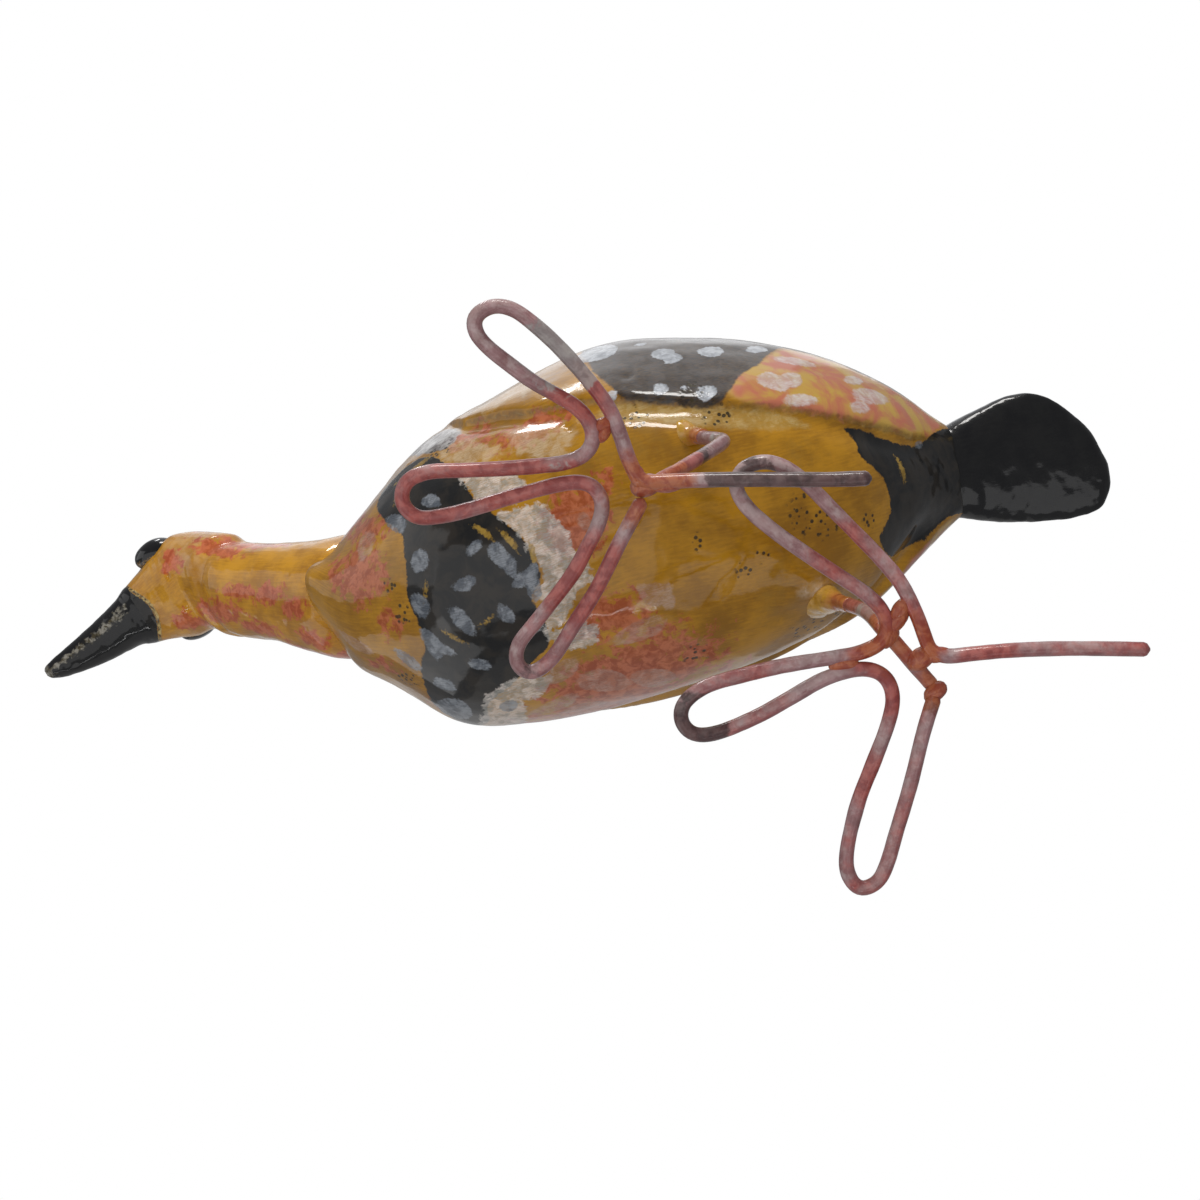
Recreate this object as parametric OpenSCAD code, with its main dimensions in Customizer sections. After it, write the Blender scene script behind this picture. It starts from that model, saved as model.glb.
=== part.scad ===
// Carved wooden standing bird on bent-wire legs and wire-loop feet.
// Millimetres, +Z up. The ground is z = 0, the bill points along -Y and the bird's own left is +X.
// The origin is on the ground, under the middle of the body.

/* [Carving] */
// Height of the middle of the body above the ground
body_height = 98; // [86:1:112]
// Length of the carved body, from the breast to the root of the tail
body_length = 176; // [150:1:200]
// Widest part of the body, across both wings
body_width = 93; // [80:1:106]
// Depth of the body, from back to belly
body_depth = 94; // [80:1:106]
// How far the lower edge of each wing stands out from the flank
wing_relief = 1.6; // [0:0.1:2.4]

/* [Neck and head] */
// How steeply the neck rises from the breast
neck_rise = 39; // [34:1:44]
// Length of the neck, from its seat on the body to the middle of the head
neck_length = 60; // [52:1:70]
// Width of the neck at its middle
neck_width = 26.5; // [23:0.5:31]
// Width of the head across the cheeks
head_width = 26; // [23:0.5:30]
// How far the head looks to the bird's right
head_turn = 20; // [8:1:26]
// Length of the bill outside the head
bill_length = 31; // [26:1:37]
// Width of the bill where it leaves the head
bill_width = 16; // [13:0.5:17]
// Length of the tail behind the body
tail_length = 42; // [35:1:50]
// Widest part of the tail
tail_width = 35; // [30:1:42]
// Thickness of the tail at its middle
tail_thickness = 9; // [7:0.5:11]

/* [Eyes] */
// Diameter of each eye bead
eye_d = 8.4; // [7:0.2:10]
// Diameter of the pin behind each bead
eye_pin_d = 1.6; // [1.2:0.1:2.2]
// Length of the pin behind each bead
eye_pin_length = 7; // [5:0.5:8]

/* [Wire] */
// Diameter of the leg and foot wire
wire_d = 3.2; // [2.6:0.1:3.8]
// Length of each toe of the left foot: outer, middle, inner
left_toe_length = [54.6, 55.4, 52]; // [44:0.2:66]
// Length of each toe of the right foot: inner, middle, outer
right_toe_length = [57, 56.6, 59]; // [46:0.2:70]
// Distance between the two runs at the tip of each toe of the left foot
left_toe_gap = [10.6, 10.6, 8]; // [7:0.2:12]
// Distance between the two runs at the tip of each toe of the right foot
right_toe_gap = [11.2, 11.2, 9.6]; // [8:0.2:13]
// Length of the hind toe of the left foot
left_hind_toe = 52; // [42:0.5:62]
// Length of the hind toe of the right foot
right_hind_toe = 57; // [46:0.5:68]
// Diameter of a weld bead where the wires cross
weld_d = 7; // [6.2:0.1:8]
// Diameter of a small weld that bridges two runs of a toe
toe_weld_d = 5.6; // [4.6:0.1:6]

/* [Joinery] */
// Gap all round a glued peg, pin or tenon
glue_gap = 0.1; // [0.05:0.05:0.3]
// Diameter of the dowel that holds the neck to the body
dowel_d = 8; // [6:0.5:10]
// Length of the neck dowel
dowel_length = 30; // [22:1:36]
// Diameter of the peg on the back of the bill
bill_peg_d = 6; // [5:0.5:7]
// Length of the peg on the back of the bill
bill_peg_length = 11; // [8:1:13]
// Width, thickness and length of the tenon on the tail
tail_tenon = [13, 4, 14]; // [4:0.5:16]
// How deep each leg wire goes into the body
leg_socket_depth = 18; // [13:1:22]
// Diameter of the filler round the top of the left leg and of the right leg
filler_d = [7.5, 12.5]; // [6:0.5:14]
// How far the filler tapers down the left leg and down the right leg
filler_length = [5, 15]; // [4:0.5:18]

/* [Hidden] */

$fn = 40;
wire_r = wire_d / 2;
sides = 36;
steps = 3;

// The carving's own proportions, as parts of the driving sizes above.
half_width = body_width / 2;
half_depth = body_depth / 2;
front_y = -0.525 * body_length;
function along_body(part) = front_y + part * body_length;
function across(part) = part * half_width;
function level(part) = body_height + part * half_depth;

// Body stations, breast to tail: [place along the body, left, right, back, belly, widest level].
body_stations = [
    [0.000, -0.15, -0.23, 0.15, 0.03, 0.10],
    [0.012, -0.02, -0.38, 0.30, -0.10, 0.12],
    [0.055, 0.11, -0.56, 0.44, -0.32, 0.13],
    [0.105, 0.28, -0.68, 0.60, -0.50, 0.12],
    [0.200, 0.58, -0.96, 0.82, -0.77, 0.08],
    [0.300, 0.75, -1.02, 0.91, -0.91, 0.05],
    [0.410, 0.91, -1.01, 0.98, -0.98, 0.02],
    [0.520, 0.985, -0.975, 1.00, -1.02, 0.00],
    [0.640, 0.93, -0.90, 0.93, -0.97, 0.02],
    [0.740, 0.83, -0.80, 0.83, -0.84, 0.06],
    [0.830, 0.67, -0.68, 0.69, -0.62, 0.12],
    [0.900, 0.48, -0.52, 0.56, -0.34, 0.18],
    [0.960, 0.27, -0.40, 0.46, -0.06, 0.22],
    [0.990, 0.17, -0.34, 0.40, 0.06, 0.23]
];

// Smooth curve through a list of rows, read at place t between 0 and the last row's number.
function row(list, i) = list[min(max(i, 0), len(list) - 1)];
function curve_at(list, t) =
    let (
        i = min(floor(t), len(list) - 2),
        f = t - i,
        a = row(list, i - 1),
        b = row(list, i),
        c = row(list, i + 1),
        d = row(list, i + 2)
    )
    b + f * (c - a) / 2 + f * f * (a - 2.5 * b + 2 * c - d / 2) + f * f * f * (1.5 * (b - c) + (d - a) / 2);
function smooth(list) = [for (k = [0 : steps * (len(list) - 1)]) curve_at(list, k / steps)];

// A closed solid through rings of equal length, with a flat end at each end.
module skin(rings) {
    n = len(rings[0]);
    last = len(rings) - 1;
    side_faces = [
        for (k = [0 : last - 1], i = [0 : n - 1], half = [0, 1])
            let (
                j = (i + 1) % n,
                a = k * n + i,
                b = k * n + j,
                c = (k + 1) * n + j,
                d = (k + 1) * n + i
            )
            half == 0 ? [a, b, c] : [a, c, d]
    ];
    first_cap = [for (i = [n - 1 : -1 : 0]) i];
    last_cap = [for (i = [0 : n - 1]) last * n + i];
    polyhedron([for (ring = rings, p = ring) p], concat(side_faces, [first_cap, last_cap]), convexity = 6);
}

// Rounded oval corner: the sine or cosine, drawn a little towards a square.
function squared(v, power) = sign(v) * pow(abs(v), power);

// The wing's lower edge stands out where the section passes 40 degrees below its widest line.
function wing_edge(angle, place) =
    let (
        below = angle > 180 ? min(angle - 180, 360 - angle) : -90,
        along = max(0, 1 - pow((place - 0.56) / 0.36, 4))
    )
    wing_relief * along * exp(-pow((below - 38) / 9, 2));

function body_ring(station) = [
    for (i = [0 : sides - 1])
        let (
            angle = 360 * i / sides,
            c = squared(cos(angle), 0.92),
            s = squared(sin(angle), 0.92),
            out = wing_edge(angle, station[0]),
            middle = (station[1] + station[2]) / 2,
            half = (station[1] - station[2]) / 2,
            rise = s > 0 ? station[3] - station[5] : station[5] - station[4]
        )
        [
            across(middle + half * c) + out * cos(angle),
            along_body(station[0]),
            level(station[5] + rise * s) + out * sin(angle)
        ]
];

// ---- places that several pieces share ----

// A direction turned from straight ahead to the bird's right, and tilted up.
function facing(turn, tilt) = [-cos(tilt) * sin(turn), -cos(tilt) * cos(turn), sin(tilt)];

// The neck sits on a flat seat cut across the front of the body.
neck_turn = -3;
head_tilt = -3;
bill_tilt = -13;
neck_seat = [across(-0.19), along_body(0.055), level(0.26)];
neck_axis = facing(neck_turn, neck_rise);
head_axis = facing(head_turn, head_tilt);
head_middle = neck_seat + neck_length * facing(neck_turn, neck_rise + 1);
bill_seat = head_middle + head_width * 0.58 * head_axis + [0, 0, -1];
bill_axis = facing(head_turn, bill_tilt);
tail_seat = [across(-0.085), along_body(0.985), level(0.23)];
tail_rise = 4;

// A loft along a bent line. Each station is
// [x, y, z, half width, half height up, half height down, turn, tilt].
function loft_ring(station, power) =
    let (
        way = facing(station[6], station[7]),
        side = cross(way, [0, 0, 1]) / norm(cross(way, [0, 0, 1])),
        up = cross(side, way)
    )
    [
        for (k = [0 : sides - 1])
            let (
                angle = 360 * k / sides,
                c = squared(cos(angle), power),
                s = squared(sin(angle), power)
            )
            [station[0], station[1], station[2]]
            + side * station[3] * c + up * (s > 0 ? station[4] : station[5]) * s
    ];
module bent_loft(stations, power = 0.95) {
    skin([for (station = smooth(stations)) loft_ring(station, power)]);
}

function unit(v) = v / norm(v);

// Local frame at a place, with its Z along a direction.
module stand(place, direction) {
    d = unit(direction);
    translate(place)
        rotate([0, acos(d[2]), atan2(d[1], d[0])])
            children();
}

neck_half = neck_width / 2;
head_half = head_width / 2;
function on_neck(part, side_shift, lift) =
    neck_seat + (head_middle - neck_seat) * part + [side_shift, 0, lift];
neck_stations = [
    concat(on_neck(-0.03, 0, 0), neck_half * [1.20, 1.16, 1.10], [neck_turn, neck_rise]),
    concat(on_neck(0.16, 0, -1), neck_half * [1.10, 1.08, 1.06], [neck_turn, neck_rise]),
    concat(on_neck(0.42, 0, -0.5), neck_half * [1.00, 0.98, 1.00], [0, neck_rise * 0.85]),
    concat(on_neck(0.70, 0.5, 1), neck_half * [1.00, 0.92, 1.00], [head_turn * 0.3, neck_rise * 0.55]),
    concat(head_middle - head_axis * 4, head_half * [1.00, 0.96, 0.98], [head_turn * 0.65, neck_rise * 0.25]),
    concat(head_middle + head_axis * 4, head_half * [0.96, 0.90, 0.86], [head_turn, head_tilt]),
    concat(head_middle + head_axis * 10, head_half * [0.80, 0.72, 0.68], [head_turn, head_tilt * 2]),
    concat(bill_seat, bill_width * [0.54, 0.43, 0.41], [head_turn, bill_tilt])
];

module neck_dowel_shape(gap) {
    stand(neck_seat - neck_axis * (dowel_length / 2 + gap), neck_axis)
        cylinder(h = dowel_length + 2 * gap, d = dowel_d + 2 * gap);
}

module bill_peg_shape(gap) {
    stand(bill_seat - bill_axis * (bill_peg_length + gap), bill_axis)
        cylinder(h = bill_peg_length + gap + 0.5, d = bill_peg_d + 2 * gap);
}

module tail_tenon_shape(gap) {
    translate(tail_seat)
        rotate([tail_rise, 0, 0])
            translate([0, -tail_tenon[2] / 2 - gap / 2 + 0.25, 0])
                cube([tail_tenon[0] + 2 * gap, tail_tenon[2] + gap + 0.5, tail_tenon[1] + 2 * gap], center = true);
}

// ---- wire paths ----

// A wire through a list of [x, y, z, bend radius]: straight runs, and arcs at the corners.
wire_sides = 12;
arc_step = 18;
function spot(p) = [p[0], p[1], p[2]];
function arc_points(before, corner, after, radius) =
    let (
        u = unit(corner - before),
        v = unit(after - corner),
        angle = acos(max(-1, min(1, u * v))),
        back = u * radius * tan(angle / 2),
        inward = unit(v - u),
        centre = corner + inward * radius / cos(angle / 2),
        start = corner - back - centre,
        along = u * radius,
        count = max(2, ceil(angle / arc_step))
    )
    [for (k = [0 : count]) centre + start * cos(angle * k / count) + along * sin(angle * k / count)];
function wire_line(path) = concat(
    [spot(path[0])],
    [
        for (i = [1 : len(path) - 2])
            for (p = arc_points(spot(path[i - 1]), spot(path[i]), spot(path[i + 1]), path[i][3])) p
    ],
    [spot(path[len(path) - 1])]
);

// The upright keeps the wire's rings from twisting, and is never along the wire.
module wire(path, upright = [0, 0, 1], d = wire_d) {
    line = wire_line(path);
    skin([
        for (i = [0 : len(line) - 1])
            let (
                way = unit(row(line, i + 1) - row(line, i - 1)),
                side = unit(cross(way, upright)),
                up = cross(side, way)
            )
            [
                for (k = [0 : wire_sides - 1])
                    line[i] + (side * cos(360 * k / wire_sides) + up * sin(360 * k / wire_sides)) * d / 2
            ]
    ]);
}

// Feet lie on the ground. Points are measured from each foot's middle, to the bird's left and back.
left_foot_at = [25.5, -2];
right_foot_at = [-24, 52];
left_hind_heading = 188;
right_hind_heading = 190;
left_toe_heading = [57, 7, -46];
right_toe_heading = [57, -7, -69];
left_toe_lean = [50, 2, -45];
right_toe_lean = [49, -10, -66];
function ahead(angle) = [sin(angle), -cos(angle)];
function aside(angle) = [cos(angle), sin(angle)];
function on_ground(centre, point, radius = 0) = [centre[0] + point[0], centre[1] + point[1], wire_r, radius];
function hind_end(centre, heading, reach) = on_ground(centre, ahead(heading) * reach);

// The right foot's inner toe climbs over the left foot's hind toe, and clears it at the tip.
crossing_lift = 1.3 * wire_d;

// The two corners that turn a toe's outward run back towards the foot, in one half circle.
function toe_tip(centre, heading, reach, lean, gap, lift = 0) = [
    for (side = [1, -1])
        on_ground(centre, ahead(heading) * reach + aside(lean) * side * gap / 2, gap * 0.48) + [0, 0, lift, 0]
];
function left_tip(i) =
    toe_tip(left_foot_at, left_toe_heading[i], left_toe_length[i], left_toe_lean[i], left_toe_gap[i]);
function right_tip(i) =
    toe_tip(
        right_foot_at, right_toe_heading[i], right_toe_length[i],
        right_toe_lean[i], right_toe_gap[i], i == 0 ? crossing_lift : 0
    );

// Each foot is one wire: the hind toe, three loops, and an end that comes back beside the start.
left_foot_path = concat(
    [hind_end(left_foot_at, left_hind_heading, left_hind_toe)],
    [on_ground(left_foot_at, [0.5, -1.2], 3), on_ground(left_foot_at, [20, -5], 30)],
    left_tip(0),
    [on_ground(left_foot_at, [17.6, -8.6], 5), on_ground(left_foot_at, [8.9, -9.4], 5)],
    left_tip(1),
    [on_ground(left_foot_at, [3.8, -10.2], 4), on_ground(left_foot_at, [-3, -8.9], 4)],
    left_tip(2),
    [on_ground(left_foot_at, [-3.6, -0.8])]
);
right_foot_path = concat(
    [hind_end(right_foot_at, right_hind_heading, right_hind_toe)],
    [on_ground(right_foot_at, [-3, 18], 40), on_ground(right_foot_at, [-2.2, 4.4], 3)],
    [on_ground(right_foot_at, [15, 2], 25)],
    right_tip(0),
    [on_ground(right_foot_at, [11.4, -3.4], 5), on_ground(right_foot_at, [2.4, -3], 5)],
    right_tip(1),
    [on_ground(right_foot_at, [-2, -19], 20)],
    [on_ground(right_foot_at, [-1.2, -5.7], 5.5), on_ground(right_foot_at, [-9.5, -4.4], 5.5)],
    [on_ground(right_foot_at, [-34, -18], 60)],
    right_tip(2),
    [on_ground(right_foot_at, [-11, 4.2])]
);

// Legs: into the body, out at the hip, a bend at the hock, then down and along the top of the foot.
on_top = wire_r + wire_d;
left_hip = [26, 12, level(-0.86)];
left_hock = [26.3, 20, 39];
left_leg_way = unit(left_hip - left_hock);
left_leg_path = [
    concat(left_hip + left_leg_way * leg_socket_depth, [0]),
    concat(left_hock, [4]),
    [26, 3, on_top, 2.5],
    [23.5, -3, on_top, 0]
];
left_leg_upright = [0.92, -0.38, 0];
right_hip = [-21.5, 38.5, level(-0.70)];
right_hock = [-19, 46.5, 30];
right_leg_way = unit(right_hip - right_hock);
right_leg_path = [
    concat(right_hip + right_leg_way * leg_socket_depth, [0]),
    concat(right_hock, [9]),
    [-18, 47, on_top, 4],
    [-34.5, 57, on_top, 0]
];
right_leg_upright = [0.52, 0.86, 0];

module socket(hip, way) {
    stand(hip - way, way)
        cylinder(h = leg_socket_depth + 1 + glue_gap, d = wire_d + 2 * glue_gap);
}

// ---- carved pieces ----

module body() {
    color("goldenrod")
        difference() {
            skin([for (station = smooth(body_stations)) body_ring(station)]);
            stand(neck_seat, neck_axis)
                cylinder(h = 60, r = 60);
            neck_dowel_shape(glue_gap);
            translate([tail_seat[0], tail_seat[1] + 20, tail_seat[2]])
                cube([60, 40, 60], center = true);
            tail_tenon_shape(glue_gap);
            socket(left_hip, left_leg_way);
            socket(right_hip, right_leg_way);
            left_filler_shape(0);
            right_filler_shape(0);
        }
}

module head_and_neck() {
    color("orange")
        difference() {
            bent_loft(neck_stations);
            stand(neck_seat - neck_axis * 40, neck_axis)
                cylinder(h = 40, r = 60);
            neck_dowel_shape(glue_gap);
            bill_peg_shape(glue_gap);
            eye_shape(1, glue_gap);
            eye_shape(-1, glue_gap);
        }
}

function bill_row(part, width, up, down) =
    concat(bill_seat + bill_axis * (0.05 + part * bill_length), bill_width * [width, up, down], [head_turn, bill_tilt]);
bill_stations = [
    bill_row(0, 0.50, 0.39, 0.37),
    bill_row(0.15, 0.43, 0.36, 0.34),
    bill_row(0.45, 0.29, 0.27, 0.24),
    bill_row(0.80, 0.17, 0.17, 0.15),
    bill_row(0.94, 0.10, 0.10, 0.09),
    bill_row(0.98, 0.04, 0.04, 0.04)
];
module bill() {
    color("black") {
        bent_loft(bill_stations);
        bill_peg_shape(0);
    }
}

function tail_row(part, left, right, thick) = [
    tail_seat[0] + tail_width * (left + right) / 2,
    tail_seat[1] + 0.05 + part * tail_length,
    tail_seat[2] + tan(tail_rise) * part * tail_length,
    tail_width * (left - right) / 2, tail_thickness * thick / 2, tail_thickness * thick / 2,
    180, 0
];
tail_stations = [
    tail_row(0, 0.36, -0.37, 1.5),
    tail_row(0.2, 0.43, -0.44, 1.25),
    tail_row(0.5, 0.49, -0.51, 1),
    tail_row(0.72, 0.38, -0.54, 0.9),
    tail_row(0.9, 0.12, -0.50, 0.75),
    tail_row(0.975, -0.08, -0.40, 0.5),
    tail_row(0.995, -0.16, -0.32, 0.2)
];
module tail() {
    color("black") {
        bent_loft(tail_stations, 0.9);
        tail_tenon_shape(0);
    }
}

module neck_dowel() {
    color("burlywood")
        neck_dowel_shape(0);
}

// Each eye is a bead on a pin, pushed into the side of the head. The side is +1 on the bird's left.
eye_out = [0.98, 0.8];
module eye_shape(side, gap) {
    outward = [side * cos(head_turn), -side * sin(head_turn), 0];
    out = eye_out[side > 0 ? 0 : 1];
    seat = head_middle + head_axis * 2.5 + [0, 0, 1] + outward * head_half * out;
    stand(seat, outward) {
        sphere(d = eye_d + 2 * gap);
        translate([0, 0, -eye_pin_length - gap])
            cylinder(h = eye_pin_length + gap, d = eye_pin_d + 2 * gap);
    }
}

module left_eye() {
    color("black")
        eye_shape(1, 0);
}

module right_eye() {
    color("black")
        eye_shape(-1, 0);
}

// ---- legs and feet ----

module left_leg() {
    color("indianred")
        wire(left_leg_path, left_leg_upright);
}

module right_leg() {
    color("indianred")
        wire(right_leg_path, right_leg_upright);
}

// Filler pressed round the leg: a cone down the wire and a plug in the mouth of its socket.
module filler_shape(hip, way, width, length, hole) {
    stand(hip - way * length, way)
        rotate_extrude()
            polygon([
                [hole, 0], [wire_r + 0.6, 0], [width / 2, length],
                [width / 2, length + 2], [wire_r + 0.6, length + 5], [hole, length + 5]
            ]);
}

module left_filler_shape(hole) {
    filler_shape(left_hip, left_leg_way, filler_d[0], filler_length[0], hole);
}

module right_filler_shape(hole) {
    filler_shape(right_hip, right_leg_way, filler_d[1], filler_length[1], hole);
}

module left_leg_filler() {
    color("goldenrod")
        left_filler_shape(wire_r + glue_gap);
}

module right_leg_filler() {
    color("goldenrod")
        right_filler_shape(wire_r + glue_gap);
}

module left_foot() {
    color("palevioletred")
        wire(left_foot_path);
}

module right_foot() {
    color("palevioletred")
        wire(right_foot_path);
}

// A weld bead is a blob of metal that fills the space round the wires where they meet.
module weld(centre, point, height, d) {
    translate([centre[0] + point[0], centre[1] + point[1], max(height, d / 2 + 0.1)])
        hull()
            sphere(d = d, $fn = 24);
}

module left_ankle_weld() {
    color("orangered")
        difference() {
            weld(left_foot_at, [-0.6, -0.6], 3.6, weld_d);
            wire(left_foot_path);
            wire(left_leg_path, left_leg_upright);
        }
}

module left_toe_weld() {
    color("firebrick")
        difference() {
            weld(left_foot_at, [15.5, -6.7], 0, toe_weld_d);
            wire(left_foot_path);
        }
}

module right_ankle_weld() {
    color("orangered")
        difference() {
            weld(right_foot_at, [5, -4.2], 3.6, weld_d);
            wire(right_foot_path);
            wire(right_leg_path, right_leg_upright);
        }
}

module right_heel_weld() {
    color("orangered")
        difference() {
            weld(right_foot_at, [-2.2, 2.4], 3.6, weld_d);
            wire(right_foot_path);
            wire(right_leg_path, right_leg_upright);
        }
}

module right_leg_end_weld() {
    color("firebrick")
        difference() {
            weld(right_foot_at, [-10.4, 4.8], 3.6, weld_d);
            wire(right_foot_path);
            wire(right_leg_path, right_leg_upright);
        }
}

module right_toe_welds() {
    color("firebrick")
        difference() {
            for (point = [[10.5, -0.8], [0.1, -15.5]])
                weld(right_foot_at, point, 0, toe_weld_d);
            wire(right_foot_path);
        }
}

body();
head_and_neck();
bill();
tail();
neck_dowel();
left_eye();
right_eye();
left_leg();
right_leg();
left_leg_filler();
right_leg_filler();
left_foot();
right_foot();
left_ankle_weld();
left_toe_weld();
right_ankle_weld();
right_heel_weld();
right_leg_end_weld();
right_toe_welds();
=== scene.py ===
import math

import bpy
import numpy as np
from mathutils import Matrix


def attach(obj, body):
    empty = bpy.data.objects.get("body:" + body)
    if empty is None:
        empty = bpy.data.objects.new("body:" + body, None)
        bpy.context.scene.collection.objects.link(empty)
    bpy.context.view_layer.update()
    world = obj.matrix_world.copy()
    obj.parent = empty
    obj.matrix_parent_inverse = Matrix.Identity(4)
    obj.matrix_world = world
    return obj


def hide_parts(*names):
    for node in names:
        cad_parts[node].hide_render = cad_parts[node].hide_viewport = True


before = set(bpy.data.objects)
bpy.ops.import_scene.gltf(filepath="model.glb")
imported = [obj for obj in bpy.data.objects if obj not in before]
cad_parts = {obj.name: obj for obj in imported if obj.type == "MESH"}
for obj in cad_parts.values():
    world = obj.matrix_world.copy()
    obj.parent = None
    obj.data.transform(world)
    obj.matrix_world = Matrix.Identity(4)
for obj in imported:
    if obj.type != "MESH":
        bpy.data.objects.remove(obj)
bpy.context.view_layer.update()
print("frame loaded:", len(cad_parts), "nodes")

# Shapes are worked out in millimetres, in the part's own frame:
# +X is the bird's left, -Y is ahead, +Z is up and the ground is z = 0.
millimetre = 0.001
tiny = 1e-9


# A smooth curve through rows: each stretch is the cubic that passes through both
# of its rows, with slopes set by the rows on either side.
def curveThrough(rows, places):
    rows = np.asarray(rows, float)
    last = len(rows) - 1
    start = np.clip(np.floor(places).astype(int), 0, last - 1)
    part = (places - start)[:, None]
    a = rows[np.clip(start - 1, 0, last)]
    b = rows[start]
    c = rows[start + 1]
    d = rows[np.clip(start + 2, 0, last)]
    cubic = 1.5 * (b - c) + (d - a) / 2
    return b + part * (c - a) / 2 + part**2 * (a - 2.5 * b + 2 * c - d / 2) + part**3 * cubic


# The same curve, closed, as a loop of points.
def closedLoop(points):
    perStretch = 6
    points = np.asarray(points, float)
    wrapped = np.concatenate([points[-2:], points, points[:3]])
    places = 2 + np.arange(len(points) * perStretch) / perStretch
    return curveThrough(wrapped, places)


# Value between 0 and 1 that rises smoothly as x goes from low to high.
def smoothStep(low, high, x):
    t = np.clip((x - low) / (high - low), 0, 1)
    return t * t * (3 - 2 * t)


lattice = {"weights": np.array([127.1, 311.7, 74.7]), "gain": 43758.5453, "seedStep": 17.31}


# Soft lumps between -1 and 1: random values on a cubic lattice of the given size,
# blended smoothly between the eight corners around each point.
def lumps(points, size, seed):
    p = np.asarray(points, float) / size + seed * lattice["seedStep"]
    cell = np.floor(p)
    f = p - cell
    f = f * f * (3 - 2 * f)
    total = np.zeros(p.shape[:-1])
    for dx in (0, 1):
        for dy in (0, 1):
            for dz in (0, 1):
                corner = cell + np.array([dx, dy, dz])
                value = np.sin(corner @ lattice["weights"]) * lattice["gain"]
                weightX = f[..., 0] if dx else 1 - f[..., 0]
                weightY = f[..., 1] if dy else 1 - f[..., 1]
                weightZ = f[..., 2] if dz else 1 - f[..., 2]
                total += (value - np.floor(value)) * weightX * weightY * weightZ
    return total * 2 - 1


# Unit vectors along the last axis.
def unit(v):
    return v / np.maximum(np.linalg.norm(v, axis=-1, keepdims=True), tiny)


# A bell over two coordinates: 1 at the place (a, b), falling off over the two reaches.
def bell(x, y, a, b, reachX, reachY):
    return np.exp(-(((x - a) / reachX) ** 2 + ((y - b) / reachY) ** 2))


# The height that a list of carved marks adds. A mark is a bell: its place, its two
# reaches and its height, which is negative for a dent.
def marksHeight(marks, x, y):
    return sum(height * bell(x, y, *mark) for *mark, height in marks)


# The height of knife facets and tool marks: soft lumps of several sizes. Each set is
# how much it squeezes lengths along the bird, which draws its lumps out, then its
# height, its size and its seed.
def facetsHeight(sets, grid):
    total = 0
    for squeeze, height, size, seed in sets:
        total = total + height * lumps(grid * np.array([1.0, squeeze, 1.0]), size, seed)
    return total


# Points round an oval drawn a little towards a square, from its bottom on: the parts
# sideways and up, and the angle from the bottom, plus one way and minus the other.
def roundOval(count, squareness):
    angle = np.linspace(0, 2 * math.pi, count, endpoint=False) - math.pi / 2
    sideways = np.sign(np.cos(angle)) * np.abs(np.cos(angle)) ** squareness
    upward = np.sign(np.sin(angle)) * np.abs(np.sin(angle)) ** squareness
    turn = np.mod(angle + math.pi / 2 + math.pi, 2 * math.pi) - math.pi
    return sideways, upward, turn


# Outward normals of a surface held as rings: the cross product of its two
# neighbour differences, turned to point away from each ring's middle.
def ringNormals(grid):
    alongStep = np.gradient(grid, axis=0)
    roundStep = (np.roll(grid, -1, axis=1) - np.roll(grid, 1, axis=1)) / 2
    normal = unit(np.cross(roundStep, alongStep))
    outward = grid - grid.mean(axis=1, keepdims=True)
    if (normal * outward).sum() < 0:
        normal = -normal
    return normal


# A closed surface from rings of points (rings x round x 3, millimetres): quads
# between neighbouring rings and a fan over each end. Fields are values per point.
def shellFromRings(grid, fields):
    rings, around = grid.shape[:2]
    index = np.arange(rings * around).reshape(rings, around)
    a = index[:-1]
    b = np.roll(index, -1, axis=1)[:-1]
    c = np.roll(index, -1, axis=1)[1:]
    d = index[1:]
    quads = np.stack([a, b, c, d], -1).reshape(-1, 4)
    first = rings * around
    last = first + 1
    startFan = np.stack([np.roll(index[0], -1), index[0], np.full(around, first)], -1)
    endFan = np.stack([index[-1], np.roll(index[-1], -1), np.full(around, last)], -1)
    points = np.concatenate([grid.reshape(-1, 3), grid[:1].mean(1), grid[-1:].mean(1)])
    triangles = np.concatenate([quads[:, [0, 1, 2]], quads[:, [0, 2, 3]], startFan, endFan])
    corners = points[triangles]
    volume = (corners[:, 0] * np.cross(corners[:, 1], corners[:, 2])).sum()
    if volume < 0:
        quads = quads[:, ::-1]
        startFan = startFan[:, ::-1]
        endFan = endFan[:, ::-1]
    values = {}
    for key, value in fields.items():
        value = np.broadcast_to(value, (rings, around))
        values[key] = np.concatenate([value.reshape(-1), [value[0].mean(), value[-1].mean()]])
    return points, quads, np.concatenate([startFan, endFan]), values


# Adds an object made of some data to the scene.
def addObject(name, data):
    made = bpy.data.objects.new(name, data)
    bpy.context.scene.collection.objects.link(made)
    return made


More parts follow.
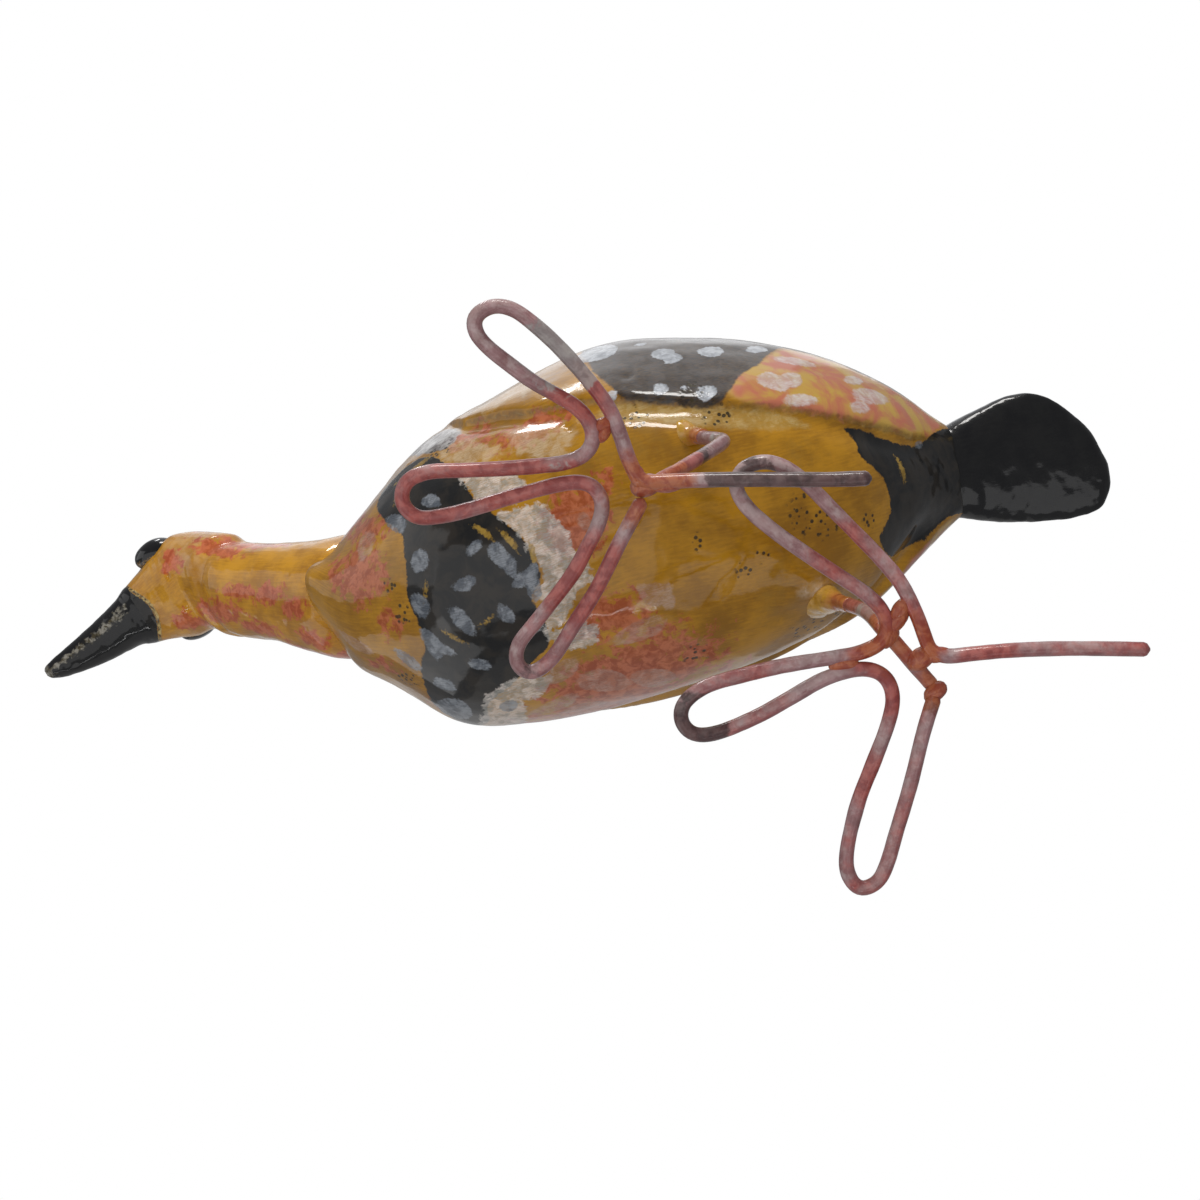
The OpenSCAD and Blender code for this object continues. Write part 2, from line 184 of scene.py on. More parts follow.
# One mesh object out of one or more closed surfaces.
def solidFromShells(name, *shells):
    points = np.concatenate([shell[0] for shell in shells])
    shift = np.cumsum([0] + [len(shell[0]) for shell in shells])[:-1]
    quads = np.concatenate([shell[1] + s for shell, s in zip(shells, shift)])
    fans = np.concatenate([shell[2] + s for shell, s in zip(shells, shift)])
    loops = np.concatenate([quads.reshape(-1), fans.reshape(-1)])
    sizes = np.concatenate([np.full(len(quads), 4), np.full(len(fans), 3)])
    starts = np.concatenate([[0], np.cumsum(sizes)[:-1]])
    mesh = bpy.data.meshes.new(name)
    mesh.vertices.add(len(points))
    mesh.vertices.foreach_set("co", (points * millimetre).astype(np.float32).reshape(-1))
    mesh.loops.add(len(loops))
    mesh.loops.foreach_set("vertex_index", loops.astype(np.int32))
    mesh.polygons.add(len(sizes))
    mesh.polygons.foreach_set("loop_start", starts.astype(np.int32))
    mesh.polygons.foreach_set("use_smooth", np.ones(len(sizes), bool))
    mesh.update(calc_edges=True)
    mesh.validate()
    for key in shells[0][3]:
        attribute = mesh.attributes.new(key, "FLOAT", "POINT")
        values = np.concatenate([shell[3][key] for shell in shells])
        attribute.data.foreach_set("value", values.astype(np.float32))
    return addObject(name, mesh)


# Gives a finished piece its material and its body, and hides the CAD node that it stands for.
def finishPiece(piece, material, node):
    piece.data.materials.append(material)
    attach(piece, "root")
    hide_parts(node)
    print("made", piece.name, len(piece.data.polygons), "faces")


# How deep each point lies inside a closed outline, in millimetres, negative outside:
# the distance to the nearest stretch, signed by an even-odd count of crossings.
def outlineDepth(outline, along, around):
    loop = closedLoop(outline)
    after = np.roll(loop, -1, axis=0)
    x = along.reshape(-1, 1)
    y = around.reshape(-1, 1)
    edge = after - loop
    slope = edge[:, 0] / np.where(np.abs(edge[:, 1]) < tiny, tiny, edge[:, 1])
    depth = np.empty(x.shape[0])
    atOnce = 20000  # points, which bounds the memory
    for chunk in np.array_split(np.arange(x.shape[0]), max(1, x.shape[0] // atOnce)):
        px, py = x[chunk], y[chunk]
        t = (px - loop[:, 0]) * edge[:, 0] + (py - loop[:, 1]) * edge[:, 1]
        t = np.clip(t / np.maximum((edge**2).sum(1), tiny), 0, 1)
        gap = np.hypot(px - loop[:, 0] - t * edge[:, 0], py - loop[:, 1] - t * edge[:, 1]).min(1)
        spans = (loop[:, 1] > py) != (after[:, 1] > py)
        crossings = (spans & (px < loop[:, 0] + slope * (py - loop[:, 1]))).sum(1)
        depth[chunk] = np.where(crossings % 2 == 1, gap, -gap)
    return depth.reshape(along.shape)


# The depth inside whichever outline of a list holds each point deepest.
def outlinesDepth(outlines, along, around):
    return np.max([outlineDepth(outline, along, around) for outline in outlines], axis=0)


# How deep each point lies inside any dab of a list. A dab is (along, around, half
# length, half width, angle, taper, bend): an oval about its place, wider at one end
# by the taper and curved by the bend.
def dabsDepth(dabs, along, around):
    depths = []
    for centreA, centreB, halfLength, halfWidth, angle, taper, bend in dabs:
        c, s = math.cos(math.radians(angle)), math.sin(math.radians(angle))
        u = ((along - centreA) * c + (around - centreB) * s) / halfLength
        v = (-(along - centreA) * s + (around - centreB) * c) / halfWidth - bend * (u * u - 0.4)
        v = v / np.clip(1 + taper * u, 0.3, 2)
        depths.append((1 - np.sqrt(u * u + v * v)) * min(halfLength, halfWidth))
    return np.max(depths, axis=0)


# How far each point lies inside any of the round places of a list. A place is (x, y,
# half reach along x, half reach along y, strength): its depth is the strength in the
# middle and falls with the given power of the distance, measured in reaches.
def placesDepth(places, x, y, fall, power, outside):
    depth = np.full(x.shape, outside)
    for a, b, reachX, reachY, strength in places:
        depth = np.maximum(depth, strength - fall * np.hypot((x - a) / reachX, (y - b) / reachY) ** power)
    return depth


# Links a node's inputs to the values that are sockets, and sets the others.
def setInputs(tree, node, values):
    for key, value in values.items():
        if isinstance(value, bpy.types.NodeSocket):
            tree.links.new(value, node.inputs[key])
        else:
            node.inputs[key].default_value = value


# Adds a node with its settings and inputs.
def addNode(tree, kind, values=None, **settings):
    made = tree.nodes.new(kind)
    for key, value in settings.items():
        setattr(made, key, value)
    setInputs(tree, made, values or {})
    return made


# One sum, difference or product of two values or sockets.
def calc(tree, operation, a, b):
    return addNode(tree, "ShaderNodeMath", {0: a, 1: b}, operation=operation).outputs[0]


# A value or socket plus another socket times its weight.
def addScaled(tree, base, socket, weight):
    return calc(tree, "ADD", base, calc(tree, "MULTIPLY", socket, weight))


# A field of the mesh, as a socket.
def field(tree, name):
    settings = {"attribute_name": name, "attribute_type": "GEOMETRY"}
    return addNode(tree, "ShaderNodeAttribute", **settings).outputs["Fac"]


# Place on the piece in millimetres.
def placeInMillimetres(tree):
    place = addNode(tree, "ShaderNodeTexCoord").outputs["Object"]
    return addNode(tree, "ShaderNodeVectorMath", {0: place, 3: 1000.0}, operation="SCALE").outputs[0]


# Noise from 0 to 1 with lumps of the given size in millimetres.
def noise(tree, place, size, detail=2.0, roughness=0.5, distortion=0.0):
    values = {
        "Vector": place, "Scale": 1.0 / size, "Detail": detail,
        "Roughness": roughness, "Distortion": distortion,
    }
    return addNode(tree, "ShaderNodeTexNoise", values).outputs[0]


# Smooth step of a socket from bottom, at the low value, to top, at the high one.
def ramp(tree, value, low, high, bottom=0.0, top=1.0):
    values = {0: value, 1: low, 2: high, 3: bottom, 4: top}
    return addNode(tree, "ShaderNodeMapRange", values, interpolation_type="SMOOTHSTEP").outputs[0]


# Two colours mixed by an amount: the first where it is 0, the second where it is 1.
def mixColour(tree, amount, a, b):
    a = a if isinstance(a, bpy.types.NodeSocket) else (*a, 1.0)
    b = b if isinstance(b, bpy.types.NodeSocket) else (*b, 1.0)
    return addNode(tree, "ShaderNodeMix", {0: amount, 6: a, 7: b}, data_type="RGBA").outputs[2]


# A vector stretched along the brush: the along and around fields, each scaled.
def brushPlace(tree, alongScale, aroundScale):
    values = {
        0: calc(tree, "MULTIPLY", field(tree, "along"), alongScale),
        1: calc(tree, "MULTIPLY", field(tree, "around"), aroundScale),
    }
    return addNode(tree, "ShaderNodeCombineXYZ", values).outputs[0]


# A normal tilted by the slope of a height; the distance is in metres.
def bumpNode(tree, height, strength, distance=0.001):
    values = {"Height": height, "Distance": distance, "Strength": strength}
    return addNode(tree, "ShaderNodeBump", values).outputs[0]


# A material with nothing in it but a principled shader and its output.
def newMaterial(name):
    material = bpy.data.materials.new(name)
    material.use_nodes = True
    tree = material.node_tree
    tree.nodes.clear()
    shader = addNode(tree, "ShaderNodeBsdfPrincipled")
    output = addNode(tree, "ShaderNodeOutputMaterial", {"Surface": shader.outputs[0]})
    return material, tree, shader, output


# One layer of paint. It covers where its field, in millimetres, is above zero; the
# edge is ragged by noise with the given grain, and soft over a width. Noise mixes a
# deep and a light tone, and the layer stands a little proud of what is under it.
def paint(
    field, grain, ragged, soft, cover, deep, light, proud,
    detail=3.0, tintSize=3.0, dry=0.0, dots=0.0,
):
    return {
        "field": field, "grain": grain, "ragged": ragged, "soft": soft, "cover": cover, "deep": deep,
        "light": light, "proud": proud, "detail": detail, "tintSize": tintSize, "dry": dry, "dots": dots,
    }


# Sizes of the marks that all paint has, in millimetres, and how much each one tells.
brushwork = {
    "fineSize": 0.55,
    "washSize": 9.0,
    "coatSize": 4.0,
    "streakShare": 0.3,
    "streakRelief": 0.06,
    "fineRoughness": 0.08,
    "washRoughness": 0.06,
    "fineCoatRoughness": 0.05,
    "coatWave": 0.12,
    "coatFollows": 0.35,
}


# How much of a layer shows at each place, from 0 to its cover.
def layerMask(tree, place, layer):
    grain = noise(tree, place, layer["grain"], layer["detail"], 0.6, 0.3)
    wobble = calc(tree, "SUBTRACT", grain, 0.5)
    edge = addScaled(tree, field(tree, layer["field"]), wobble, 2 * layer["ragged"])
    mask = ramp(tree, edge, -layer["soft"], layer["soft"])
    if layer["dots"] > 0:  # separate flecks instead of one patch
        values = {"Vector": place, "Scale": 1.0 / layer["dots"], "Randomness": 1.0}
        fleck = addNode(tree, "ShaderNodeTexVoronoi", values).outputs["Distance"]
        mask = calc(tree, "MULTIPLY", mask, ramp(tree, fleck, 0.26, 0.40, 1.0, 0.0))
    if layer["dry"] > 0:  # bristle gaps in a dry stroke
        bristles = noise(tree, brushPlace(tree, 0.35, 2.4), 0.7, 3.0, 0.7)
        mask = calc(tree, "MULTIPLY", mask, ramp(tree, bristles, 0.40, 0.60, 1.0 - layer["dry"], 1.0))
    return calc(tree, "MULTIPLY", mask, layer["cover"])


# Layers of paint over a ground colour, under a clear coat. Relief, roughness and the
# coat's waves are sums of the same few noises, each times its weight.
def layeredPaint(name, ground, layers, finish):
    material, tree, shader, output = newMaterial(name)
    place = placeInMillimetres(tree)
    streaks = noise(tree, brushPlace(tree, 0.25, 1.6), 1.0, 4.0, 0.6)
    mottle = noise(tree, place, ground["mottle"], 4.0, 0.6)
    fine = noise(tree, place, brushwork["fineSize"], 3.0, 0.6)
    share = brushwork["streakShare"]
    shade = addScaled(tree, calc(tree, "MULTIPLY", mottle, 1 - share), streaks, share)
    colour = mixColour(tree, ramp(tree, shade, 0.36, 0.64), ground["deep"], ground["light"])
    height = calc(tree, "MULTIPLY", streaks, brushwork["streakRelief"])
    for layer in layers:
        mask = layerMask(tree, place, layer)
        tint = noise(tree, place, layer["tintSize"], 3.0, 0.6, 0.5)
        tone = mixColour(tree, ramp(tree, tint, 0.38, 0.62), layer["deep"], layer["light"])
        colour = mixColour(tree, mask, colour, tone)
        height = addScaled(tree, height, mask, layer["proud"])
    height = addScaled(tree, height, fine, finish["fineRelief"])
    roughness = addScaled(tree, finish["roughness"], fine, brushwork["fineRoughness"])
    wash = noise(tree, place, brushwork["washSize"], 3.0, 0.55)
    wave = calc(tree, "MULTIPLY", noise(tree, place, brushwork["coatSize"], 2.0), brushwork["coatWave"])
    coatHeight = addScaled(tree, wave, height, brushwork["coatFollows"])
    setInputs(tree, shader, {
        "Base Color": colour,
        "Roughness": addScaled(tree, roughness, wash, brushwork["washRoughness"]),
        "Normal": bumpNode(tree, height, finish["relief"]),
        "Specular IOR Level": finish["specular"],
        "Coat Weight": finish["coat"],
        "Coat Roughness": addScaled(tree, finish["coatRoughness"], fine, brushwork["fineCoatRoughness"]),
        "Coat Normal": bumpNode(tree, coatHeight, finish["coatRelief"]),
    })
    return material


# A direction turned from straight ahead to the bird's right, and tilted up, in degrees.
def facing(turn, tilt):
    a, b = np.radians(turn), np.radians(tilt)
    return np.stack([-np.cos(b) * np.sin(a), -np.cos(b) * np.cos(a), np.sin(b)], -1)


# The neck comes first, because the front of the body is cut flat at the neck's seat.
neck = {
    "turn": -3.0,
    "rise": 39.0,
    "length": 60.0,
    "width": 26.5,
    "headWidth": 26.0,
    "headTurn": 20.0,
    "headTilt": -3.0,
    "billTilt": -13.0,
    "billLength": 30.8,
    "billWidth": 16.0,
    "seat": np.array([-8.8, -82.7, 110.2]),
    "rings": 260,
    "around": 192,
}

body = {
    "length": 176.0,
    "front": -92.4,
    "halfWidth": 46.5,
    "halfDepth": 47.0,
    "middle": 98.0,
    "squareness": 0.92,
    "rings": 300,
    "around": 288,
    # place along the body, left, right, back, belly, widest level
    "rows": [
        [0.000, -0.15, -0.23, 0.15, 0.03, 0.10],
        [0.012, -0.02, -0.38, 0.30, -0.10, 0.12],
        [0.055, 0.11, -0.56, 0.44, -0.32, 0.13],
        [0.105, 0.28, -0.68, 0.60, -0.50, 0.12],
        [0.200, 0.58, -0.96, 0.82, -0.77, 0.08],
        [0.300, 0.75, -1.02, 0.91, -0.91, 0.05],
        [0.410, 0.91, -1.01, 0.98, -0.98, 0.02],
        [0.520, 0.985, -0.975, 1.00, -1.02, 0.00],
        [0.640, 0.93, -0.90, 0.93, -0.97, 0.02],
        [0.740, 0.83, -0.80, 0.83, -0.84, 0.06],
        [0.830, 0.67, -0.68, 0.69, -0.62, 0.12],
        [0.900, 0.48, -0.52, 0.56, -0.34, 0.18],
        [0.960, 0.27, -0.40, 0.46, -0.06, 0.22],
        [0.990, 0.17, -0.34, 0.40, 0.06, 0.23],
    ],
    # lower edge of each wing: along the body, round from the keel
    "leftWingEdge": [
        [-48, 69], [-43, 58], [-33, 53], [-26, 48], [-20, 46], [-8, 43], [2, 39], [10, 36],
        [20, 33], [31, 30], [41, 26], [52, 21], [57, 18], [64, 14], [69, 11], [80, 9],
    ],
    "rightWingEdge": [
        [-46, -72], [-20, -66], [0, -62], [20, -60], [35, -55], [48, -40], [60, -25], [68, -16], [80, -8],
    ],
    # the carved wings fade in and out between these places along the body
    "wingStart": (-52, -40),
    "wingEnd": (66, 82),
    "wingStep": 1.5,
    "wingThins": 0.75,
    "hollow": 0.9,
    "hollowAt": -3.2,
    "hollowWidth": 3.4,
    "noseSpan": (-92, -77),
    "noseWidth": 24,
    "noseSwing": 4.5,
    "noseCut": 1.5,
    "facets": [(0.45, 0.30, 11.0, 1), (0.45, 0.16, 5.0, 2), (1, 0.05, 1.8, 3)],
    # thigh bosses, pits and dents: along, around, reach along and around, height
    "marks": [
        (37, -17, 8.5, 7.5, 3.0), (12, 27, 7, 6, 1.1), (-17, 38, 1.1, 1.1, -1.5), (0, 49, 1.5, 1.5, -0.6),
        (38, 0, 0.9, 0.9, -0.4), (41, -2, 0.7, 0.7, -0.4), (-90, -14, 7, 12, -1.6), (-91, 6, 4, 6, 0.8),
    ],
}


# How far round from the keel a wing's edge is: straight lines between its points.
def wingEdgeAt(points, along):
    points = np.array(points, float)
    return np.interp(along, points[:, 0], points[:, 1])


# Rings of the body: each ring is an oval with four different half axes about its
# widest level. Also each point's place along the body, and round it from the keel:
# the angle from the keel times the ring's mean half axis, plus on the bird's left.
def bodyRings():
    place = np.linspace(0, len(body["rows"]) - 1, body["rings"])
    row = curveThrough(body["rows"], place)
    c, s, turn = roundOval(body["around"], body["squareness"])
    middle = (row[:, 1:2] + row[:, 2:3]) / 2
    half = (row[:, 1:2] - row[:, 2:3]) / 2
    rise = np.where(s > 0, row[:, 3:4] - row[:, 5:6], row[:, 5:6] - row[:, 4:5])
    along = np.broadcast_to(body["front"] + row[:, :1] * body["length"], (body["rings"], body["around"]))
    grid = np.stack([
        body["halfWidth"] * (middle + half * c),
        along,
        body["middle"] + body["halfDepth"] * (row[:, 5:6] + rise * s),
    ], -1)
    girth = (body["halfWidth"] * (row[:, 1] - row[:, 2]) + body["halfDepth"] * (row[:, 3] - row[:, 4])) / 4
    return grid, along, girth[:, None] * turn


# Hand carving, pushed out along the normal: wings that stand above a cut line with
# a shallow hollow below it, long knife facets, and the marks. The front first swings
# towards the neck, and what would stand past the neck's seat is pressed back to it.
def carveBody(grid, along, around):
    swing = (1 - smoothStep(*body["noseSpan"], along)) * np.exp(-((around / body["noseWidth"]) ** 2))
    grid = grid + body["noseSwing"] * swing[..., None] * np.array([1.0, 0, 0])
    normal = ringNormals(grid)
    left = around - wingEdgeAt(body["leftWingEdge"], along)
    right = wingEdgeAt(body["rightWingEdge"], along) - around
    reach = smoothStep(*body["wingStart"], along) * (1 - smoothStep(*body["wingEnd"], along))
    push = marksHeight(body["marks"], along, around)
    for side, onSide in ((left, around > 0), (right, around < 0)):
        thinned = 1 - body["wingThins"] * smoothStep(2, 20, side)
        step = smoothStep(-0.9, 1.1, side) * body["wingStep"] * thinned
        hollow = -body["hollow"] * np.exp(-((side - body["hollowAt"]) / body["hollowWidth"]) ** 2)
        push += np.where(onSide, (step + hollow) * reach, 0)
    push += facetsHeight(body["facets"], grid)
    carved = grid + normal * push[..., None]
    way = facing(neck["turn"], neck["rise"])
    past = ((carved - neck["seat"]) * way).sum(-1) / body["noseCut"]
    past = np.log1p(np.exp(np.clip(past, -20, 20))) * body["noseCut"]
    return carved - past[..., None] * way


# Where the paint lies on the body. Places are along the body and round it from the
# keel, in millimetres. The lists of lists are outlines, and the lists of seven numbers
# are dabs, as dabsDepth says.
bodyPaint = {
    "black": [
        [
            (-52, 47), (-58, 50), (-66, 45), (-69, 36), (-67, 28), (-63, 22), (-63, 12), (-64, 5),
            (-62, -2), (-62, -7), (-64, -13), (-64, -24), (-62, -34), (-55, -44), (-50, -40), (-49, -29),
            (-42, -23), (-35, -17), (-31, -14), (-31, -7), (-33, -1), (-30, 2), (-31, 8), (-33, 13),
            (-38, 20), (-43, 27), (-45, 33), (-48, 39),
        ],
        [
            (52, 19), (54, 15), (54, 11), (57, 7), (60, 2), (60, -4), (56, -10), (60, -18), (68, -16),
            (78, -10), (90, -12), (90, 14), (78, 12), (72, 9), (67, 10), (62, 13), (57, 17),
        ],
    ],
    "wing": [
        [
            (-9, 64), (-10, 74), (-6, 90), (20, 96), (45, 80), (62, 52), (72, 36), (76, 26), (70, 28),
            (61, 40), (50, 52), (42, 56), (37, 52), (33, 46), (28, 42), (25, 38), (20, 33), (10, 36),
            (-2, 41), (-5, 47), (-8, 55),
        ],
        [
            (-50, -64), (-30, -72), (0, -70), (30, -66), (50, -50), (62, -34), (72, -22), (76, -28),
            (66, -48), (50, -70), (20, -96), (-10, -96), (-40, -84),
        ],
    ],
    "spots": [
        (-59, 14, 3.1, 2.3, 70, -0.1, 0.1), (-39, 10, 3.9, 2.0, 115, 0.25, 0.0),
        (-37, 7, 2.6, 1.7, 100, 0.2, 0.1), (-49, 6, 3.0, 1.7, 10, 0.2, 0.2),
        (-35, 3, 2.4, 1.5, 10, 0.3, 0.0), (-32, 4, 2.2, 1.5, 30, 0.0, 0.2),
        (-61, 3, 3.0, 2.3, 110, 0.0, 0.1), (-51, -2, 4.2, 1.7, 125, 0.1, 0.1),
        (-40, -3, 2.7, 1.6, 130, 0.2, 0.0), (-60, -6, 4.4, 2.0, 110, -0.2, 0.4),
        (-57, -8, 3.0, 1.2, 150, 0.1, 0.2), (-67, -11, 4.2, 1.6, 130, -0.1, 0.1),
        (-49, -14, 3.2, 1.6, 150, 0.0, 0.0), (-59, -19, 3.1, 2.0, 140, 0.1, 0.0),
        (-54, 30, 2.9, 2.0, 140, 0.2, 0.1), (-64, 26, 3.6, 2.4, 120, 0.1, 0.2),
        (-32, 0, 2.4, 1.8, 90, 0.2, 0.0), (-45, 14, 2.2, 1.4, 30, 0.0, 0.1),
        (-44, -32, 2.4, 3.0, 0, 0.0, 0.2), (-58, -31, 4.4, 6.5, 10, 0.1, 0.1),
        (72, 9, 1.1, 1.0, 0, 0.0, 0.0),
    ],
    "wingSpots": [
        (-7, 69, 6.0, 6.2, 15, 0.2, 0.1), (10, 58, 3.0, 3.6, 20, 0.1, 0.2),
        (12, 54, 2.6, 2.0, 40, 0.2, 0.0), (22, 56, 3.4, 3.6, 20, 0.0, 0.1),
        (34, 55, 2.9, 2.4, 160, 0.2, 0.1), (7, 41, 2.2, 1.9, 60, 0.3, 0.2),
        (18, 37, 2.6, 2.6, 80, 0.3, 0.1), (13, 40, 0.9, 0.7, 0, 0.0, 0.0), (5, 68, 1.6, 1.2, 0, 0.0, 0.0),
        (-5, 43, 1.8, 1.4, 20, 0.0, 0.0), (-2, 80, 3.4, 3.0, 30, 0.2, 0.1),
        (16, 84, 3.2, 3.0, 10, 0.2, 0.1), (34, 74, 3.0, 2.6, 160, 0.2, 0.1),
        (48, 62, 2.6, 2.2, 150, 0.1, 0.0), (-30, -78, 3.2, 2.8, 20, 0.2, 0.1),
        (-12, -78, 3.2, 2.8, 10, 0.2, 0.1), (8, -77, 3.2, 2.8, 0, 0.1, 0.1),
        (27, -73, 3.0, 2.6, 170, 0.2, 0.0), (44, -62, 2.8, 2.2, 150, 0.1, 0.1),
        (-20, -90, 3.2, 2.6, 10, 0.1, 0.1), (4, -91, 3.2, 2.6, 0, 0.1, 0.1),
        (26, -86, 3.0, 2.6, 170, 0.1, 0.1),
    ],
    "cream": [
        [(-46, 35), (-40, 35), (-33, 30), (-30, 26), (-31, 23), (-36, 22), (-41, 25), (-44, 30)],
        [
            (-38, 21), (-32, 20), (-27, 19), (-23, 13), (-21, 9), (-21, 6), (-18, 3), (-18, -2), (-22, -3),
            (-24, -7), (-28, -10), (-31, -8), (-30, -4), (-32, 0), (-29, 2), (-31, 8), (-35, 16),
        ],
        [(-32, -10), (-28, -11), (-24, -11), (-20, -12), (-18, -15), (-20, -18), (-25, -18), (-30, -14)],
        [(-51, -32), (-47, -25), (-43, -25), (-40, -29), (-40, -40), (-42, -50), (-52, -50)],
        [(-50, -27), (-46, -23), (-41, -21), (-36, -23), (-31, -23), (-35, -30), (-41, -30)],
    ],
    "feathers": [
        (-3, -9, 4.6, 3.0, 160, -0.3, -0.5), (0, -12, 2.6, 1.6, 90, 0.0, 0.2),
        (-9, -18.5, 7.4, 3.1, 8, 0.35, 0.1), (-19, -33, 8.0, 4.2, 140, 0.1, 0.1),
        (-7, -38, 7.0, 4.2, 130, -0.3, 0.2), (-33, -38, 7.0, 3.6, 20, 0.2, 0.2),
        (-29, -24, 5.0, 3.2, 30, 0.1, 0.1), (-73, 21, 5.0, 2.2, 70, 0.2, 0.0),
        (-80, -7, 4.6, 2.0, 150, 0.1, 0.1), (-24, 9, 1.8, 2.6, 10, 0.1, 0.1),
        (-17, 11, 1.6, 2.4, 20, 0.1, 0.1), (-25, -45, 6.0, 3.2, 170, 0.1, 0.1),
    ],
    "rear": [
        [
            (25, 40), (24, 34), (32, 29.5), (40, 26.5), (49, 22.5), (57, 18.5), (63, 14.5), (69, 11.5),
            (76, 11), (80, 18), (72, 24), (66, 32), (58, 42), (50, 50), (42, 54), (37, 51), (33, 46),
            (29, 43),
        ],
        [(46, -44), (60, -27), (68, -18), (78, -12), (74, -22), (64, -36), (54, -48)],
    ],
    "rearDabs": [
        (34.5, 38, 3.0, 3.6, 20, 0.1, 0.1), (37, 35, 2.2, 2.2, 0, 0.0, 0.0),
        (40, 37, 3.0, 3.4, 10, 0.1, 0.1), (43, 46, 6.0, 2.0, 150, 0.1, 0.1),
        (41, 29, 4.4, 1.9, 165, 0.1, 0.1), (60, 26, 5.4, 3.0, 150, 0.1, 0.1),
        (57, 34, 2.8, 2.4, 150, 0.1, 0.1), (56, 23, 2.8, 1.8, 150, 0.1, 0.1),
    ],
    # red stipple: along, around, half reach along and around, strength
    "blush": [
        (-12, -34, 24, 14, 2.6), (-20, -48, 26, 10, 2.6), (-14, -12, 14, 9, 1.6), (-20, 12, 9, 10, 2.6),
        (-27, 42, 12, 6, 2.2), (-42, 50, 8, 7, 1.6), (-76, 12, 9, 9, 2.2), (-72, 26, 8, 8, 1.6),
        (-70, -2, 6, 6, 1.0), (-74, -14, 8, 6, 0.6), (-78, 34, 9, 10, 1.4), (-60, -30, 8, 8, 0.6),
        (-2, -22, 20, 8, 0.8), (12, -44, 14, 8, 0.4), (-10, 20, 8, 7, 0.4),
    ],
    # thin strokes, as dabs
    "streaks": [
        (-36, 13, 3.4, 0.7, 120, 0, 0.3), (-31, 8, 2.8, 0.8, 95, 0, 0.2), (-54, -5, 3.0, 0.5, 140, 0, 0.2),
        (-45, -3, 2.6, 0.5, 20, 0, 0.2), (-42, 17, 3.2, 0.7, 130, 0, 0.2), (-59, 6, 2.4, 0.5, 70, 0, 0.1),
        (-58, 45, 6.0, 1.2, 30, 0, 0.3), (-62, 38, 5.0, 1.0, 75, 0, 0.2), (65, 4, 3.0, 0.6, 100, 0, 0.2),
    ],
    # dark flecks: along, around, reach
    "specks": [
        (38, 1, 4.0), (42, -2, 3.2), (54, -4, 1.6), (5, -32, 3.0), (34, -36, 4.0), (10, 0, 1.6),
        (25, -6, 1.6), (20, -9, 2.0), (-66, 1, 2.2), (-68, 8, 1.6), (-68, -18, 2.6), (-50, 50, 3.0),
        (20, 30, 3.0), (0, 35, 3.0), (46, -36, 4.0), (15, 38, 3.0),
    ],
    "shoulder": [
        [(-40, 62), (-34, 72), (-24, 66), (-25, 58), (-30, 56), (-35, 56)],
        [(-32, 46), (-24, 43), (-18, 39), (-16, 34), (-20, 30), (-27, 33), (-31, 38)],
        [(-51, 47), (-46, 50), (-42, 49), (-39, 44), (-34, 38), (-42, 38)],
        [(-17, 50), (-13, 52), (-11, 49), (-14, 46)],
    ],
    "greyShoulder": [[(-60, 62), (-54, 63), (-46, 62), (-45, 53), (-50, 49), (-57, 54)]],
}


# Fields that say where each colour of paint lies, all in millimetres inside its edge.
def bodyFields(along, around):
    fields = {"along": along, "around": around}
    for key in ("black", "wing", "cream", "rear", "shoulder", "greyShoulder"):
        fields[key] = outlinesDepth(bodyPaint[key], along, around)
    for key in ("spots", "wingSpots", "feathers", "rearDabs", "streaks"):
        fields[key] = dabsDepth(bodyPaint[key], along, around)
    onTop = np.abs(around) - np.interp(along, [-70, -40, 0, 40, 80], [60, 92, 98, 84, 40])
    fields["wing"] = np.maximum(fields["wing"], onTop)
    left = around - wingEdgeAt(body["leftWingEdge"], along)
    rim = 3.2 - np.abs(left + 3.0) - 8 * (1 - smoothStep(-14, -6, along)) - 8 * smoothStep(30, 60, along)
    rim = np.where(left > -0.4, -np.maximum(left, 0) * 2 - 0.2, rim)
    fields["rim"] = np.where(around > 0, rim, -10)
    # painted shade: a thin dark line along the left wing's lower edge, where shade falls in the crease
    fields["wingEdgeShade"] = np.where(around > 0, 0.6 - np.abs(left - 0.1) * 1.3, -9)
    fields["blush"] = placesDepth(bodyPaint["blush"], along, around, 3.0, 1.5, -9.0)
    reaches = [np.hypot(along - a, around - b) / radius for a, b, radius in bodyPaint["specks"]]
    fields["specks"] = 1.8 * (1.25 - np.min(reaches, axis=0))
    # painted highlight: a pale spot on the right thigh boss
    fields["bareAndHighlight"] = 1.2 * (1 - np.hypot((along - 36) / 3.0, (around + 18) / 2.2))
    fields["scuff"] = 1.8 * lumps(np.stack([along, around, 0 * along], -1), 13.0, 16) - 1.3
    return fields


bodyGround = {"deep": (0.32, 0.140, 0.002), "light": (0.56, 0.265, 0.008), "mottle": 14.0}
wood = {
    "specular": 0.12,
    "relief": 0.5,
    "fineRelief": 0.05,
    "roughness": 0.34,
    "coat": 0.85,
    "coatRoughness": 0.05,
    "coatRelief": 0.25,
}

